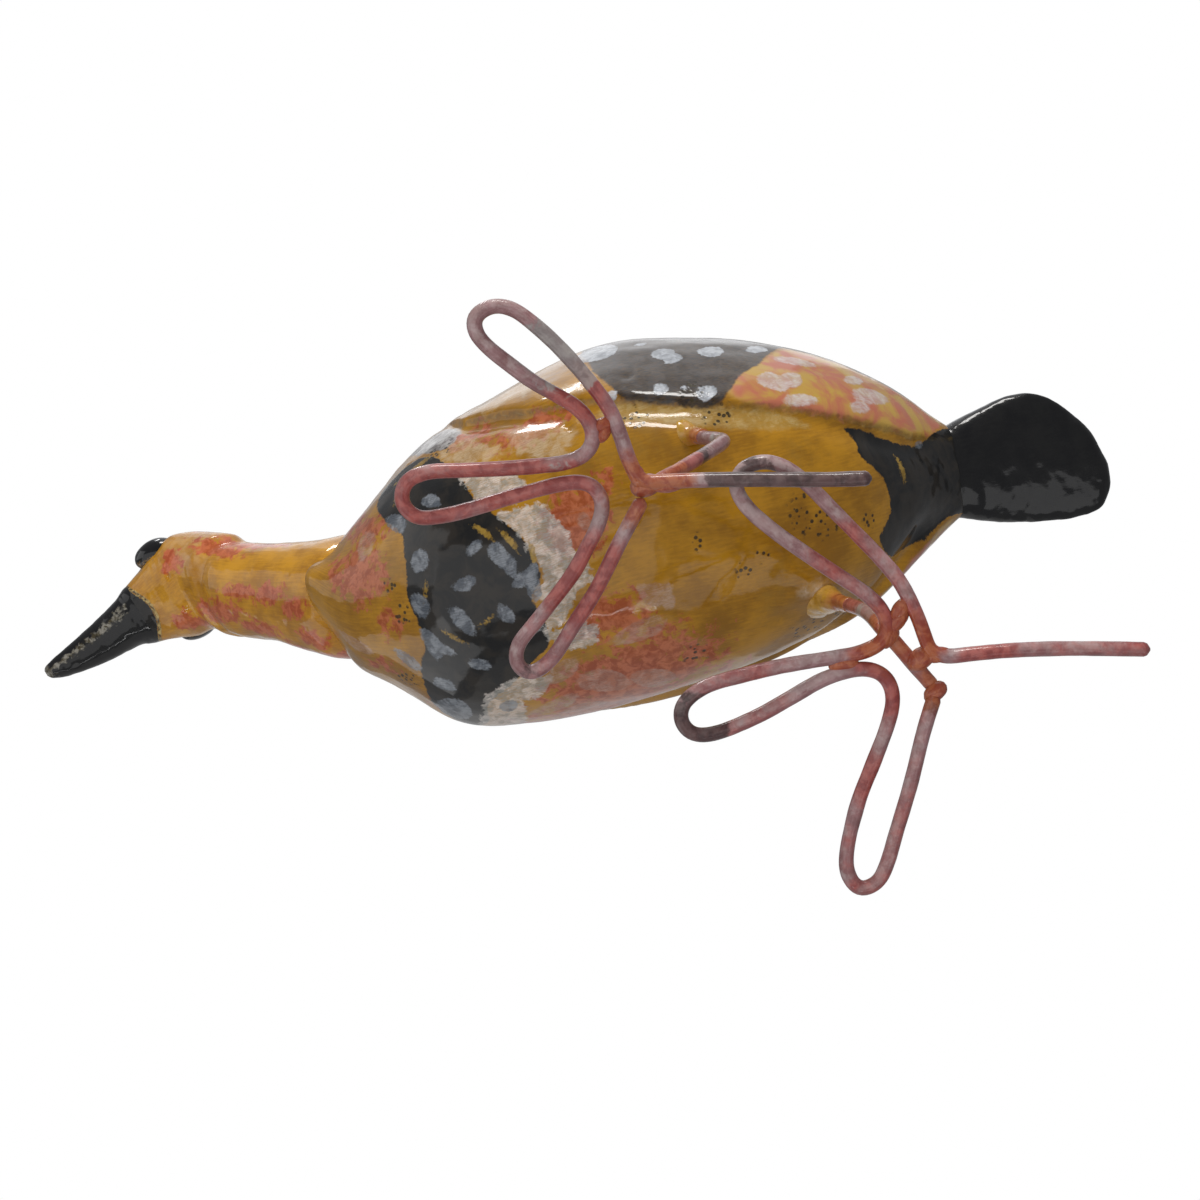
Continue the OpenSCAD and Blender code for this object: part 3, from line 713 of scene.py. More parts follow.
# field, grain, ragged edge, soft edge, cover, deep tone, light tone, how proud it stands
bodyLayers = [
    paint("scuff", 3.0, 2.4, 1.4, 0.45, (0.16, 0.075, 0.008), (0.28, 0.15, 0.02), 0.03),
    paint("rim", 2.2, 1.6, 1.2, 0.75, (0.46, 0.29, 0.07), (0.62, 0.46, 0.19), 0.10, dry=0.4),
    paint(
        "blush", 2.8, 5.2, 0.7, 0.80, (0.36, 0.045, 0.018), (0.60, 0.15, 0.075), 0.05,
        detail=7.0, tintSize=2.4,
    ),
    paint("shoulder", 3.0, 3.6, 1.6, 0.62, (0.58, 0.38, 0.18), (0.78, 0.62, 0.42), 0.12, dry=0.4),
    paint("rear", 3.0, 1.2, 0.8, 1.0, (0.58, 0.18, 0.10), (0.62, 0.38, 0.07), 0.06, tintSize=9.0),
    paint(
        "wing", 1.8, 0.9, 0.45, 0.97, (0.010, 0.010, 0.012), (0.045, 0.045, 0.050), 0.08,
        tintSize=5.0, dry=0.12,
    ),
    paint("black", 1.6, 0.8, 0.25, 1.0, (0.005, 0.005, 0.005), (0.022, 0.017, 0.012), 0.10, tintSize=7.0),
    paint("greyShoulder", 2.4, 1.8, 0.6, 0.9, (0.14, 0.14, 0.15), (0.46, 0.46, 0.46), 0.14),
    paint(
        "cream", 2.4, 2.6, 0.45, 0.88, (0.40, 0.39, 0.35), (0.90, 0.80, 0.72), 0.18,
        tintSize=3.6, dry=0.45,
    ),
    # painted highlight on the right thigh boss
    paint("bareAndHighlight", 2.4, 1.0, 1.0, 0.85, (0.66, 0.46, 0.24), (0.86, 0.72, 0.56), 0.04),
    paint("streaks", 1.0, 0.9, 0.25, 0.8, (0.30, 0.17, 0.01), (0.52, 0.32, 0.05), 0.1),
    paint("feathers", 1.8, 0.7, 0.35, 0.60, (0.38, 0.20, 0.14), (0.60, 0.42, 0.34), 0.14, dry=0.5),
    paint("rearDabs", 1.4, 0.7, 0.35, 0.85, (0.62, 0.44, 0.40), (0.78, 0.72, 0.70), 0.18, dry=0.3),
    paint("spots", 1.2, 0.7, 0.25, 0.86, (0.12, 0.14, 0.17), (0.34, 0.37, 0.41), 0.16, dry=0.35),
    paint("wingSpots", 1.2, 0.8, 0.25, 0.92, (0.40, 0.43, 0.48), (0.70, 0.74, 0.80), 0.2, dry=0.3),
    # painted shade in the crease along the left wing's lower edge
    paint("wingEdgeShade", 1.6, 1.2, 0.4, 0.32, (0.030, 0.022, 0.008), (0.12, 0.08, 0.02), -0.1),
    paint("specks", 1.6, 0.8, 0.6, 0.9, (0.010, 0.008, 0.004), (0.05, 0.035, 0.010), -0.25, dots=1.5),
]

bodyGrid, bodyAlong, bodyAround = bodyRings()
bodyCarved = carveBody(bodyGrid, bodyAlong, bodyAround)
bodyShell = shellFromRings(bodyCarved, bodyFields(bodyAlong, bodyAround))
bodyMaterial = layeredPaint("bodyPaint", bodyGround, bodyLayers, wood)
finishPiece(solidFromShells("carvedBody", bodyShell), bodyMaterial, "body")


# Places along the head, which the bill and the eyes also use.
headMiddle = neck["seat"] + neck["length"] * facing(neck["turn"], neck["rise"] + 1)
headAxis = facing(neck["headTurn"], neck["headTilt"])
billAxis = facing(neck["headTurn"], neck["billTilt"])
billSeat = headMiddle + neck["headWidth"] * 0.58 * headAxis + np.array([0, 0, -1.0])


# Rings along a bent line: each row is x, y, z, half width, half height up, half
# height down, turn and tilt, and the ring stands square to its own direction. Also
# each point's place along, 10 to a row, and its angle from the bottom in degrees.
def bentRings(rows, rings, around, squareness=0.95):
    row = curveThrough(rows, np.linspace(0, len(rows) - 1, rings))
    way = facing(row[:, 6], row[:, 7])
    side = unit(np.cross(way, np.array([0, 0, 1.0])))
    up = np.cross(side, way)
    c, s, turn = roundOval(around, squareness)
    c = c[None, :, None]
    s = s[None, :, None]
    half = np.where(s > 0, row[:, 4][:, None, None], row[:, 5][:, None, None])
    grid = row[:, None, :3] + side[:, None] * row[:, 3][:, None, None] * c + up[:, None] * half * s
    along = np.broadcast_to(np.linspace(0, 10 * (len(rows) - 1), rings)[:, None], grid.shape[:2])
    return grid, along, np.broadcast_to(np.degrees(turn)[None], grid.shape[:2])


# A place some part of the way from the neck's seat to the head's middle, then shifted
# to the bird's left and lifted.
def onNeck(part, shift, lift):
    return neck["seat"] + (headMiddle - neck["seat"]) * part + np.array([shift, 0, lift])


# A row for bentRings, with its three half sizes given as parts of a scale.
def neckRow(place, scale, sizes, turn, tilt):
    return [*place, *(scale * np.array(sizes)), turn, tilt]


neckHalf = neck["width"] / 2
headHalf = neck["headWidth"] / 2
neckWay = neck["turn"], neck["rise"]
headTurn, headTilt = neck["headTurn"], neck["headTilt"]
neckRows = [
    neckRow(onNeck(-0.16, 0, 0.5), neckHalf, [1.12, 1.10, 1.02], *neckWay),
    neckRow(onNeck(-0.03, -0.3, 0), neckHalf, [1.24, 1.16, 1.26], *neckWay),
    neckRow(onNeck(0.16, -0.2, -1), neckHalf, [1.11, 1.08, 1.12], *neckWay),
    neckRow(onNeck(0.42, 0, -0.5), neckHalf, [1.00, 0.98, 1.00], 0, neck["rise"] * 0.85),
    neckRow(onNeck(0.70, 0.5, 1), neckHalf, [1.00, 0.92, 1.00], headTurn * 0.3, neck["rise"] * 0.55),
    neckRow(headMiddle - headAxis * 4, headHalf, [1.00, 0.89, 0.98], headTurn * 0.65, neck["rise"] * 0.25),
    neckRow(headMiddle + headAxis * 4, headHalf, [0.96, 0.90, 0.86], headTurn, headTilt),
    neckRow(headMiddle + headAxis * 10, headHalf, [0.80, 0.72, 0.68], headTurn, headTilt * 2),
    neckRow(billSeat, neck["billWidth"], [0.54, 0.43, 0.41], headTurn, neck["billTilt"]),
]


head = {
    # swellings on the left cheek and a cut in the throat: along, turn, reaches, height
    "marks": [(53, -84, 3.4, 18, 0.9), (42, -96, 5.0, 26, 0.9), (56, -30, 0.7, 4.0, -0.5)],
    # red stipple: along, turn, half reach along and round
    "blush": [
        (38, 12, 6, 16), (43, 20, 4, 14), (31, -14, 6, 9), (24, -14, 5, 12), (39, -70, 6, 14),
        (16, -2, 5, 10), (30, 30, 6, 12), (52, -44, 5, 14), (60, 30, 6, 16), (50, 45, 5, 12),
        (12, 30, 5, 14), (33, -88, 8, 12), (9, 60, 6, 14), (22, 60, 6, 14), (47, -110, 8, 14),
        (30, 110, 10, 22), (20, 160, 10, 30), (44, 160, 9, 26), (30, -140, 8, 22),
    ],
    "blushStrength": 2.4,
    "facets": [(1, 0.30, 9.0, 5), (1, 0.12, 3.6, 6), (1, 0.04, 1.3, 7)],
}


# The head's carving: cheeks that end in a fold across the throat, a swelling round
# each eye, the marks, faint knife cuts across the throat, and facets all over.
def carveHead(grid, along, turn):
    normal = ringNormals(grid)
    fold = 43.5 + 1.5 * np.cos(np.radians(turn) * 2) - 5.0 * smoothStep(60, 110, np.abs(turn))
    push = 1.0 * smoothStep(-1.2, 1.2, along - fold) * (1 - smoothStep(8, 20, along - fold))
    push -= 0.5 * np.exp(-((along - fold + 1.6) / 1.5) ** 2)
    push += 0.6 * bell(along, np.abs(turn), 59, 96, 6.0, 26)
    push += marksHeight(head["marks"], along, turn)
    cuts = smoothStep(44, 50, along) * (1 - smoothStep(62, 70, along))
    cuts = cuts * (1 - smoothStep(70, 100, np.abs(turn))) * (1 + lumps(grid, 6.0, 15))
    push += 0.022 * np.sin(along * 2.1 + lumps(grid, 5.0, 4) * 5.0) * cuts
    push += facetsHeight(head["facets"], grid)
    return grid + normal * push[..., None]


# The red stipple, a pale cheek, the black in front of the eyes and its gold rim.
def headFields(along, turn):
    patches = [(*patch, head["blushStrength"]) for patch in head["blush"]]
    lores = (along - 78.5 + 6.5 * np.exp(-(((turn + 4) / 44) ** 2))) * 0.5
    return {
        "along": along * 0.9,
        "around": turn * 0.23,
        "blush": placesDepth(patches, along, turn, 2.6, 1, -6.0),
        "pale": 1.6 - 2.2 * np.hypot((along - 48) / 9, (turn + 64) / 34),
        "lores": lores,
        "rim": 0.75 - np.abs(lores + 0.4) * 1.6,
    }


headLayers = [
    paint("pale", 3.0, 2.0, 1.5, 0.5, (0.60, 0.32, 0.12), (0.72, 0.46, 0.24), 0.04),
    paint(
        "blush", 2.6, 4.6, 0.7, 0.80, (0.46, 0.050, 0.022), (0.70, 0.15, 0.075), 0.05,
        detail=6.0, tintSize=2.4,
    ),
    paint("lores", 1.2, 0.6, 0.2, 1.0, (0.004, 0.004, 0.004), (0.012, 0.010, 0.008), 0.15),
    paint("rim", 1.2, 0.9, 0.3, 0.9, (0.03, 0.02, 0.01), (0.60, 0.44, 0.16), 0.25, tintSize=1.2),
]
headGround = {"deep": (0.46, 0.190, 0.006), "light": (0.74, 0.35, 0.014), "mottle": 9.0}
headGrid, headAlong, headRound = bentRings(neckRows, neck["rings"], neck["around"])
headShell = shellFromRings(carveHead(headGrid, headAlong, headRound), headFields(headAlong, headRound))
headMaterial = layeredPaint("headPaint", headGround, headLayers, dict(wood, coatRelief=0.45))
finishPiece(solidFromShells("headAndNeck", headShell), headMaterial, "head_and_neck")


bill = {"rings": 150, "around": 96, "facets": [(1, 0.16, 4.5, 8), (1, 0.07, 1.6, 9)]}


# A row across the bill: its place from root to tip, its half sizes as parts of the
# bill's width, and how far it is shifted up and to the bird's right.
def billRow(part, width, up, down, drop=0.0, shift=0.0):
    place = billSeat + billAxis * (part * neck["billLength"]) + np.array([-shift, 0, drop])
    return neckRow(place, neck["billWidth"], [width, up, down], neck["headTurn"], neck["billTilt"])


billRows = [
    billRow(-0.14, 0.46, 0.38, 0.36),
    billRow(-0.03, 0.55, 0.43, 0.41),
    billRow(0.06, 0.50, 0.40, 0.37),
    billRow(0.15, 0.43, 0.36, 0.34),
    billRow(0.45, 0.34, 0.28, 0.25, 0.3, 0.8),
    billRow(0.80, 0.215, 0.19, 0.17, 0.2, 0.7),
    billRow(0.94, 0.13, 0.12, 0.11, 0.0, 0.3),
    billRow(0.985, 0.05, 0.05, 0.05),
]


# The bill's carving: a groove along each side where the two halves meet, and facets.
def carveBill(grid, along, turn):
    normal = ringNormals(grid)
    groove = smoothStep(14, 24, along) * (1 - smoothStep(60, 70, along))
    push = -0.35 * np.exp(-((np.abs(turn) - 92) / 7.0) ** 2) * groove
    push += facetsHeight(bill["facets"], grid)
    return grid + normal * (push * (1 - smoothStep(64, 70, along)))[..., None]


# Wear along a slanting line on the side and at the tip, and gold round the root.
def billFields(along, turn):
    wear = 0.5 - np.abs(turn + 34 - 0.5 * (along - 35)) * 0.055
    wear = np.minimum(wear, (along - 22) * 0.2)
    return {
        "along": along * 0.5,
        "around": turn * 0.1,
        "wear": np.maximum(wear, (along - 60) * 0.16),
        "rim": 9.0 - along - 9 * (np.abs(turn + 4) < 75),
    }


billLayers = [
    paint(
        "wear", 1.5, 2.2, 0.35, 0.62, (0.09, 0.07, 0.03), (0.48, 0.45, 0.38), -0.1,
        detail=6.0, tintSize=1.6,
    ),
    paint("rim", 1.0, 0.8, 0.3, 0.85, (0.10, 0.06, 0.01), (0.58, 0.42, 0.14), 0.2, tintSize=1.0),
]
blackGround = {"deep": (0.003, 0.003, 0.004), "light": (0.008, 0.008, 0.008), "mottle": 6.0}
billGrid, billAlong, billRound = bentRings(billRows, bill["rings"], bill["around"])
billShell = shellFromRings(carveBill(billGrid, billAlong, billRound), billFields(billAlong, billRound))
billMaterial = layeredPaint("billPaint", blackGround, billLayers, wood)
finishPiece(solidFromShells("carvedBill", billShell), billMaterial, "bill")


tail = {
    "seat": np.array([-3.95, 81.0, 108.8]),
    "length": 42.0,
    "width": 35.0,
    "thickness": 9.0,
    "rise": 4.0,
    "rings": 170,
    "around": 144,
    "squareness": 0.9,
    "dish": [(40, 0, 18, 50, -0.8)],
    "facets": [(0.5, 0.35, 8.0, 10), (1, 0.14, 3.0, 11), (1, 0.05, 1.2, 12)],
}


# A row across the tail, from its left and right edges as parts of the width.
def tailRow(part, left, right, thick):
    place = tail["seat"] + np.array([
        tail["width"] * (left + right) / 2,
        part * tail["length"],
        math.tan(math.radians(tail["rise"])) * part * tail["length"],
    ])
    half = tail["thickness"] * thick / 2
    return [*place, tail["width"] * (left - right) / 2, half, half, 180, 0]


tailRows = [
    tailRow(-0.16, 0.30, -0.31, 1.5),
    tailRow(0, 0.355, -0.365, 1.5),
    tailRow(0.2, 0.43, -0.44, 1.25),
    tailRow(0.5, 0.49, -0.51, 1),
    tailRow(0.72, 0.38, -0.54, 0.9),
    tailRow(0.9, 0.12, -0.50, 0.75),
    tailRow(0.97, -0.08, -0.40, 0.5),
    tailRow(0.992, -0.16, -0.32, 0.2),
]


# The tail's carving: long knife facets and a shallow dish underneath, both fading out
# towards the ends.
def carveTail(grid, along, turn):
    normal = ringNormals(grid)
    push = facetsHeight(tail["facets"], grid) + marksHeight(tail["dish"], along, turn)
    ends = smoothStep(0, 12, along) * (1 - smoothStep(58, 69, along))
    return grid + normal * (push * ends)[..., None]


# Wear near the root and at the tip.
def tailFields(grid, along):
    wearAndSheen = -2.0 + 0.9 * np.exp(-((along - 12) / 5) ** 2) + 1.0 * smoothStep(62, 70, along)
    return {"along": grid[..., 1], "around": grid[..., 0], "wear": wearAndSheen}


tailLayers = [
    paint("wear", 2.2, 2.2, 0.3, 0.7, (0.14, 0.08, 0.01), (0.50, 0.46, 0.38), 0.05, tintSize=1.6),
]
tailFinish = dict(wood, coatRelief=0.6, coatRoughness=0.08)
tailGrid, tailAlong, tailRound = bentRings(tailRows, tail["rings"], tail["around"], tail["squareness"])
tailShell = shellFromRings(carveTail(tailGrid, tailAlong, tailRound), tailFields(tailGrid, tailAlong))
tailMaterial = layeredPaint("tailPaint", blackGround, tailLayers, tailFinish)
finishPiece(solidFromShells("carvedTail", tailShell), tailMaterial, "tail")


eye = {"radius": 3.9, "leftOut": 0.97, "rightOut": 0.80, "ahead": 3.0, "lift": 1.0, "length": 1.55}


# A ball as rings from pole to pole: the polar angle runs along, the azimuth around.
def ballRings(rings, around):
    polar = np.linspace(0.02, math.pi - 0.02, rings)[:, None]
    azimuth = np.linspace(0, 2 * math.pi, around, endpoint=False)[None]
    x = np.sin(polar) * np.cos(azimuth)
    y = np.sin(polar) * np.sin(azimuth)
    return np.stack([x, y, np.cos(polar) + 0 * azimuth], -1)


# The bead is a ball drawn out ahead, with a collar of paint round its foot. Its side
# is +1 on the bird's left, and the part is how far out from the head's middle it sits.
def eyeBead(name, side, part, node):
    turn = math.radians(neck["headTurn"])
    outward = np.array([side * math.cos(turn), -side * math.sin(turn), 0])
    centre = headMiddle + headAxis * eye["ahead"] + np.array([0, 0, eye["lift"]]) + outward * headHalf * part
    up = np.cross(outward, headAxis)
    ball = ballRings(72, 96)
    shape = ball[..., :1] * headAxis * eye["length"] + ball[..., 1:2] * up + ball[..., 2:3] * outward
    radius = eye["radius"] * (1 + 0.012 * lumps(ball * 3, 1.0, 13))
    fields = {"along": ball[..., 0] * 4, "around": ball[..., 1] * 4, "collar": 0.15 - ball[..., 2] * 2.4}
    shell = shellFromRings(centre + shape * radius[..., None], fields)
    finishPiece(solidFromShells(name, shell), eyeMaterial, node)


eyeLayers = [
    paint("collar", 0.9, 0.8, 0.2, 0.8, (0.03, 0.02, 0.01), (0.26, 0.14, 0.03), 0.1, tintSize=1.0),
]
eyeGround = {"deep": (0.003, 0.003, 0.004), "light": (0.008, 0.008, 0.009), "mottle": 3.0}
eyeFinish = dict(
    wood, relief=0.25, fineRelief=0.01, roughness=0.12,
    coat=1.0, coatRoughness=0.02, coatRelief=0.05,
)
eyeMaterial = layeredPaint("eyeBead", eyeGround, eyeLayers, eyeFinish)
eyeBead("leftEye", 1, eye["leftOut"], "left_eye")
eyeBead("rightEye", -1, eye["rightOut"], "right_eye")


wire = {"radius": 1.76, "step": 0.75, "around": 20, "wander": 0.18}


# A round tube: the centreline is a smooth curve through the points, cut into equal
# steps; rings stand square to it, and its radius swells a little from place to place.
# Both ends are rounded over: there the radius follows a quarter circle.
def tubeRings(points, upright, seed):
    radius = wire["radius"]
    points = np.asarray(points, float)
    dense = curveThrough(points, np.linspace(0, len(points) - 1, len(points) * 24))
    run = np.concatenate([[0], np.cumsum(np.linalg.norm(np.diff(dense, axis=0), axis=1))])
    count = max(8, int(run[-1] / wire["step"]))
    places = np.linspace(0, run[-1], count)
    line = np.stack([np.interp(places, run, dense[:, axis]) for axis in range(3)], -1)
    for _ in range(3):  # eases the stretches between points
        line[1:-1] = line[1:-1] * 0.5 + (line[:-2] + line[2:]) * 0.25
    way = unit(np.gradient(line, axis=0))
    side = unit(np.cross(way, np.array(upright, float)))
    up = np.cross(side, way)
    angle = np.linspace(0, 2 * math.pi, wire["around"], endpoint=False)
    swell = radius * (1 + 0.035 * lumps(line, 6.0, 20 + seed) + 0.02 * lumps(line, 2.0, 30 + seed))
    inset = np.clip(np.minimum(places, places[-1] - places) / radius, 0, 1)
    swell = swell * np.sqrt(np.clip(1 - (1 - inset) ** 2, 0.04, 1))
    ring = np.cos(angle)[None, :, None] * side[:, None] + np.sin(angle)[None, :, None] * up[:, None]
    grid = line[:, None] + ring * swell[:, None, None]
    along = np.broadcast_to(places[:, None], grid.shape[:2])
    around = np.broadcast_to((angle * radius)[None], grid.shape[:2])
    return grid, along, around


# How deep each point lies inside any of the listed balls of x, y, z and radius.
def nearPlaces(grid, places):
    depths = [radius - np.linalg.norm(grid - np.array([x, y, z]), axis=-1) for x, y, z, radius in places]
    return np.max(depths, axis=0)


leftFoot = {
    "points": [
        (18.0, 49.5), (19.4, 40), (21.2, 30), (23.0, 20), (24.6, 10), (25.7, 2), (26.6, -2.2), (31, -4.3),
        (38.5, -5.6), (45, -7.2), (52.8, -11.2), (60.2, -15.8), (66.2, -20.4), (70.4, -24.6), (71.8, -29),
        (70.2, -33), (66.8, -33.6), (63.0, -31.6), (58.4, -27.6), (53.4, -22.9), (49.5, -18.2),
        (45.9, -14.2), (41.7, -11.8), (37.6, -11.9), (34.9, -14.4), (33.9, -19), (34.2, -25), (35, -33),
        (36.2, -42), (37.2, -50), (35.8, -55.2), (31.4, -57), (27.4, -54.2), (26.7, -48), (27.2, -40.8),
        (28.4, -31), (29.2, -20), (28.0, -14.4), (23.9, -12.2), (19, -13.6), (13.6, -17.4), (7.7, -22.1),
        (-0.6, -31), (-6.0, -36.8), (-10.6, -37.8), (-13.0, -34.8), (-10.4, -29.6), (-3.5, -23.3),
        (3.8, -16.8), (13.1, -10.1), (19, -5.6), (22.6, -2.8),
    ],
    "orange": [(25, -2, 2, 9), (27, 4, 2, 6)],
    "ruddy": [(35, -33, 2, 13), (30, -52, 2, 10), (6, -19, 2, 13), (28, -20, 2, 9), (48, -14, 2, 9)],
    "dark": [(20, 40, 0, 16), (22, 22, 0, 14), (-12, -36, 2, 5)],
    "bareAndHighlight": [(60, -14, 2, 14), (33, -20, 0, 5)],
}
rightFoot = {
    "points": [
        (-33.2, 107.2), (-31.2, 97), (-29.2, 86), (-27.6, 75), (-26.8, 66), (-26.4, 60.6), (-24.6, 57),
        (-21, 56), (-15.5, 54.9), (-7.3, 52.3), (-1.2, 48.8), (5.9, 43.9), (12, 39.6), (17.3, 35.9),
        (22.3, 31.6), (25.2, 26.6), (24.6, 21.2), (20.8, 18.8), (15.4, 20.6), (9.2, 25.6), (3, 31.8),
        (-3.3, 38.5), (-8.6, 44.1), (-13.2, 47.2), (-17.4, 47.7), (-20.4, 45.7), (-21.9, 41), (-22, 34.8),
        (-21.8, 24.1), (-22.2, 14.9), (-23.4, 4.4), (-26.4, -1.4), (-30.6, -2.8), (-34.2, -0.4),
        (-34.8, 5.2), (-32.6, 14.8), (-29.7, 22.9), (-26.7, 31.1), (-25.7, 38.6), (-26.8, 43.3),
        (-29.8, 46), (-34.4, 46.4), (-40.3, 44.2), (-48.9, 39.4), (-57, 34.8), (-67.3, 30.6), (-73.6, 29.6),
        (-78, 31.8), (-77.2, 36.2), (-73, 39.2), (-66, 42.4), (-55.2, 47.4), (-44.4, 51.8), (-38.3, 54.6),
        (-34.8, 56.4),
    ],
    # the inner toe's climb: its height, where it is measured from and which way, where
    # it starts and how long it is; only points to the left of a place take part
    "lift": {
        "height": 4.5, "origin": (-24, 52), "way": (0.84, -0.54), "start": 14, "length": 34, "leftOf": -12,
    },
    "ruddy": [(-20, 48, 3, 13), (-32, 48, 2, 10), (2, 40, 4, 9), (-31, 70, 2, 10), (-52, 38, 2, 8)],
    "orange": [(-23, 52, 3, 8), (-19, 44, 3, 6), (-33, 56, 3, 6)],
    "dark": [(-33, -1, 0, 12), (-36, 55, 0, 6), (23, 24, 5, 7)],
    "bareAndHighlight": [(20, 24, 5, 7)],
}


# A foot is one wire laid on the ground; its height wanders a little where it was
# bent, and its underside is pressed flat against the ground plane. Where the foot has
# a lift, a toe climbs evenly with its distance, to pass over the other foot.
def makeFoot(name, foot, node, seed):
    flat = np.array(foot["points"], float)
    height = wire["radius"] + wire["wander"] * (lumps(np.c_[flat, 0 * flat[:, 0]], 14.0, 40 + seed) + 1)
    if "lift" in foot:
        lift = foot["lift"]
        reach = (flat - lift["origin"]) @ np.array(lift["way"])
        climb = np.clip((reach - lift["start"]) / lift["length"], 0, 1)
        height += lift["height"] * climb * (flat[:, 0] > lift["leftOf"])
    grid, along, around = tubeRings(np.c_[flat, height], (0, 0, 1.0), seed)
    grid[..., 2] = np.maximum(grid[..., 2], 0.01 + 0.004 * np.abs(lumps(grid, 2.0, 3)))
    shell = shellFromRings(grid, wireFields(grid, along, around, foot))
    finishPiece(solidFromShells(name, shell), wireMaterial, node)


# Where each colour lies on a wire: near the piece's own places, in large noise, and a painted
# highlight: paler paint on the side that faces the bird's left and the ground, where the light falls.
def wireFields(grid, along, around, places):
    wearAndSheen = (ringNormals(grid) * unit(np.array([0.8, -0.2, -0.6]))).sum(-1)
    return {
        "along": along,
        "around": around,
        "orange": nearPlaces(grid, places["orange"]),
        "dark": nearPlaces(grid, places["dark"]) - 3,
        "bareAndHighlight": nearPlaces(grid, places["bareAndHighlight"]) - 4,
        "red": np.maximum(3.2 * lumps(grid, 20.0, 14) - 0.9, 0.4 * nearPlaces(grid, places["ruddy"]) - 0.6),
        "litSideSheen": 1.6 * (wearAndSheen - 0.62) + 0.7 * lumps(grid, 9.0, 18),
    }


wireLayers = [
    # painted highlight: paler paint on the side of the wire that faces the light
    paint("litSideSheen", 2.6, 1.6, 0.5, 0.55, (0.50, 0.36, 0.34), (0.66, 0.54, 0.52), 0.05),
    paint("red", 5.0, 2.2, 1.2, 0.78, (0.30, 0.030, 0.024), (0.50, 0.095, 0.070), 0.04, detail=4.0),
    paint("bareAndHighlight", 3.0, 6.0, 1.0, 0.7, (0.26, 0.26, 0.25), (0.42, 0.42, 0.39), -0.1, detail=5.0),
    paint("dark", 3.4, 5.0, 1.0, 0.8, (0.020, 0.014, 0.014), (0.10, 0.06, 0.055), -0.05, detail=5.0),
    paint("orange", 3.4, 4.0, 2.4, 0.85, (0.36, 0.060, 0.020), (0.52, 0.15, 0.05), 0.06, detail=4.0),
]
wireGround = {"deep": (0.27, 0.125, 0.125), "light": (0.46, 0.27, 0.275), "mottle": 5.0}
wireFinish = dict(wood, relief=0.6, fineRelief=0.12, coat=0.7, coatRoughness=0.10, coatRelief=0.35)
wireMaterial = layeredPaint("wirePaint", wireGround, wireLayers, wireFinish)
makeFoot("leftFoot", leftFoot, "left_foot", 1)
makeFoot("rightFoot", rightFoot, "right_foot", 2)

leftLeg = {
    "points": [
        (25.8, 4.4, 75), (25.9, 8.2, 66), (26, 12, 57.4), (26.1, 15.4, 49.6), (26.3, 18.4, 42.4),
        (26.4, 19.2, 38.6), (26.3, 17.4, 33), (26.1, 11, 20), (26, 6, 10.4), (25.8, 3.0, 6.4),
        (24.9, 0.4, 4.9), (23.6, -2.8, 4.8),
    ],
    "upright": (1.0, 0.0, 0.02),
    "orange": [(26, 2, 6, 9)],
    "ruddy": [(26, 8, 14, 10)],
    "dark": [(26, 12, 24, 6)],
    "bareAndHighlight": [(26, 18, 40, 7)],
}
rightLeg = {
    "points": [
        (-23, 35, 80), (-22.2, 36.8, 72), (-21.5, 38.6, 64.8), (-20.8, 41, 55), (-20, 43.4, 44),
        (-19.2, 45.4, 33), (-18.7, 46.3, 22), (-18.4, 46.7, 12), (-18.8, 47.2, 7), (-21, 48.8, 5.1),
        (-27, 52.4, 4.8), (-34.3, 56.8, 4.8),
    ],
    "upright": (0.52, 0.86, 0.0),
    "orange": [(-19, 47, 6, 10), (-21, 40, 58, 9), (-34, 57, 4, 6)],
    "ruddy": [(-20, 44, 40, 10)],
    "dark": [(-34, 56, 3, 5)],
    "bareAndHighlight": [(-19, 45, 30, 6)],
}


# A leg is one wire down from its socket. Its rings are turned about the upright.
def makeLeg(name, leg, node, seed):
    grid, along, around = tubeRings(leg["points"], leg["upright"], seed)
    shell = shellFromRings(grid, wireFields(grid, along, around, leg))
    finishPiece(solidFromShells(name, shell), wireMaterial, node)


makeLeg("leftLeg", leftLeg, "left_leg", 3)
makeLeg("rightLeg", rightLeg, "right_leg", 4)


# Each lump of a weld is x, y, z, long half axis, short half axis, half height and
# heading in degrees.
welds = {
    "leftAnkleWeld": {"node": "left_ankle_weld", "seed": 50, "lumps": [
        (25.2, -1.8, 3.6, 3.6, 2.6, 2.8, 80), (24.8, 3.2, 2.6, 4.2, 2.0, 2.0, 95),
        (28.2, -3.4, 2.2, 3.4, 1.9, 1.9, 165),
    ]},
    "leftToeWeld": {"node": "left_toe_weld", "seed": 60, "lumps": [
        (41, -9.0, 1.9, 2.6, 1.7, 1.7, 70), (39.0, -9.2, 1.8, 2.4, 1.5, 1.5, 40),
    ]},
    "rightAnkleWeld": {"node": "right_ankle_weld", "seed": 70, "lumps": [
        (-19, 47.8, 3.4, 3.6, 2.5, 2.7, 30), (-16.2, 50.0, 2.3, 3.6, 2.0, 1.9, 50),
    ]},
    "rightHeelWeld": {"node": "right_heel_weld", "seed": 80, "lumps": [
        (-26.2, 54.4, 3.2, 3.6, 2.5, 2.7, 60), (-25.8, 58.6, 2.2, 3.2, 1.9, 1.9, 90),
    ]},
    "rightLegEndWeld": {"node": "right_leg_end_weld", "seed": 90, "lumps": [
        (-34.6, 56.6, 3.2, 3.1, 2.1, 2.4, 60),
    ]},
    "rightToeWelds": {"node": "right_toe_welds", "seed": 100, "lumps": [
        (-13.5, 51.2, 1.9, 3.2, 1.8, 1.7, 40), (-23.9, 36.5, 1.9, 3.6, 1.7, 1.7, 90),
    ]},
}
# how far each colour reaches from the middle of a lump
weldReach = {"orange": 7, "ruddy": 4, "dark": 1, "bareAndHighlight": 2}


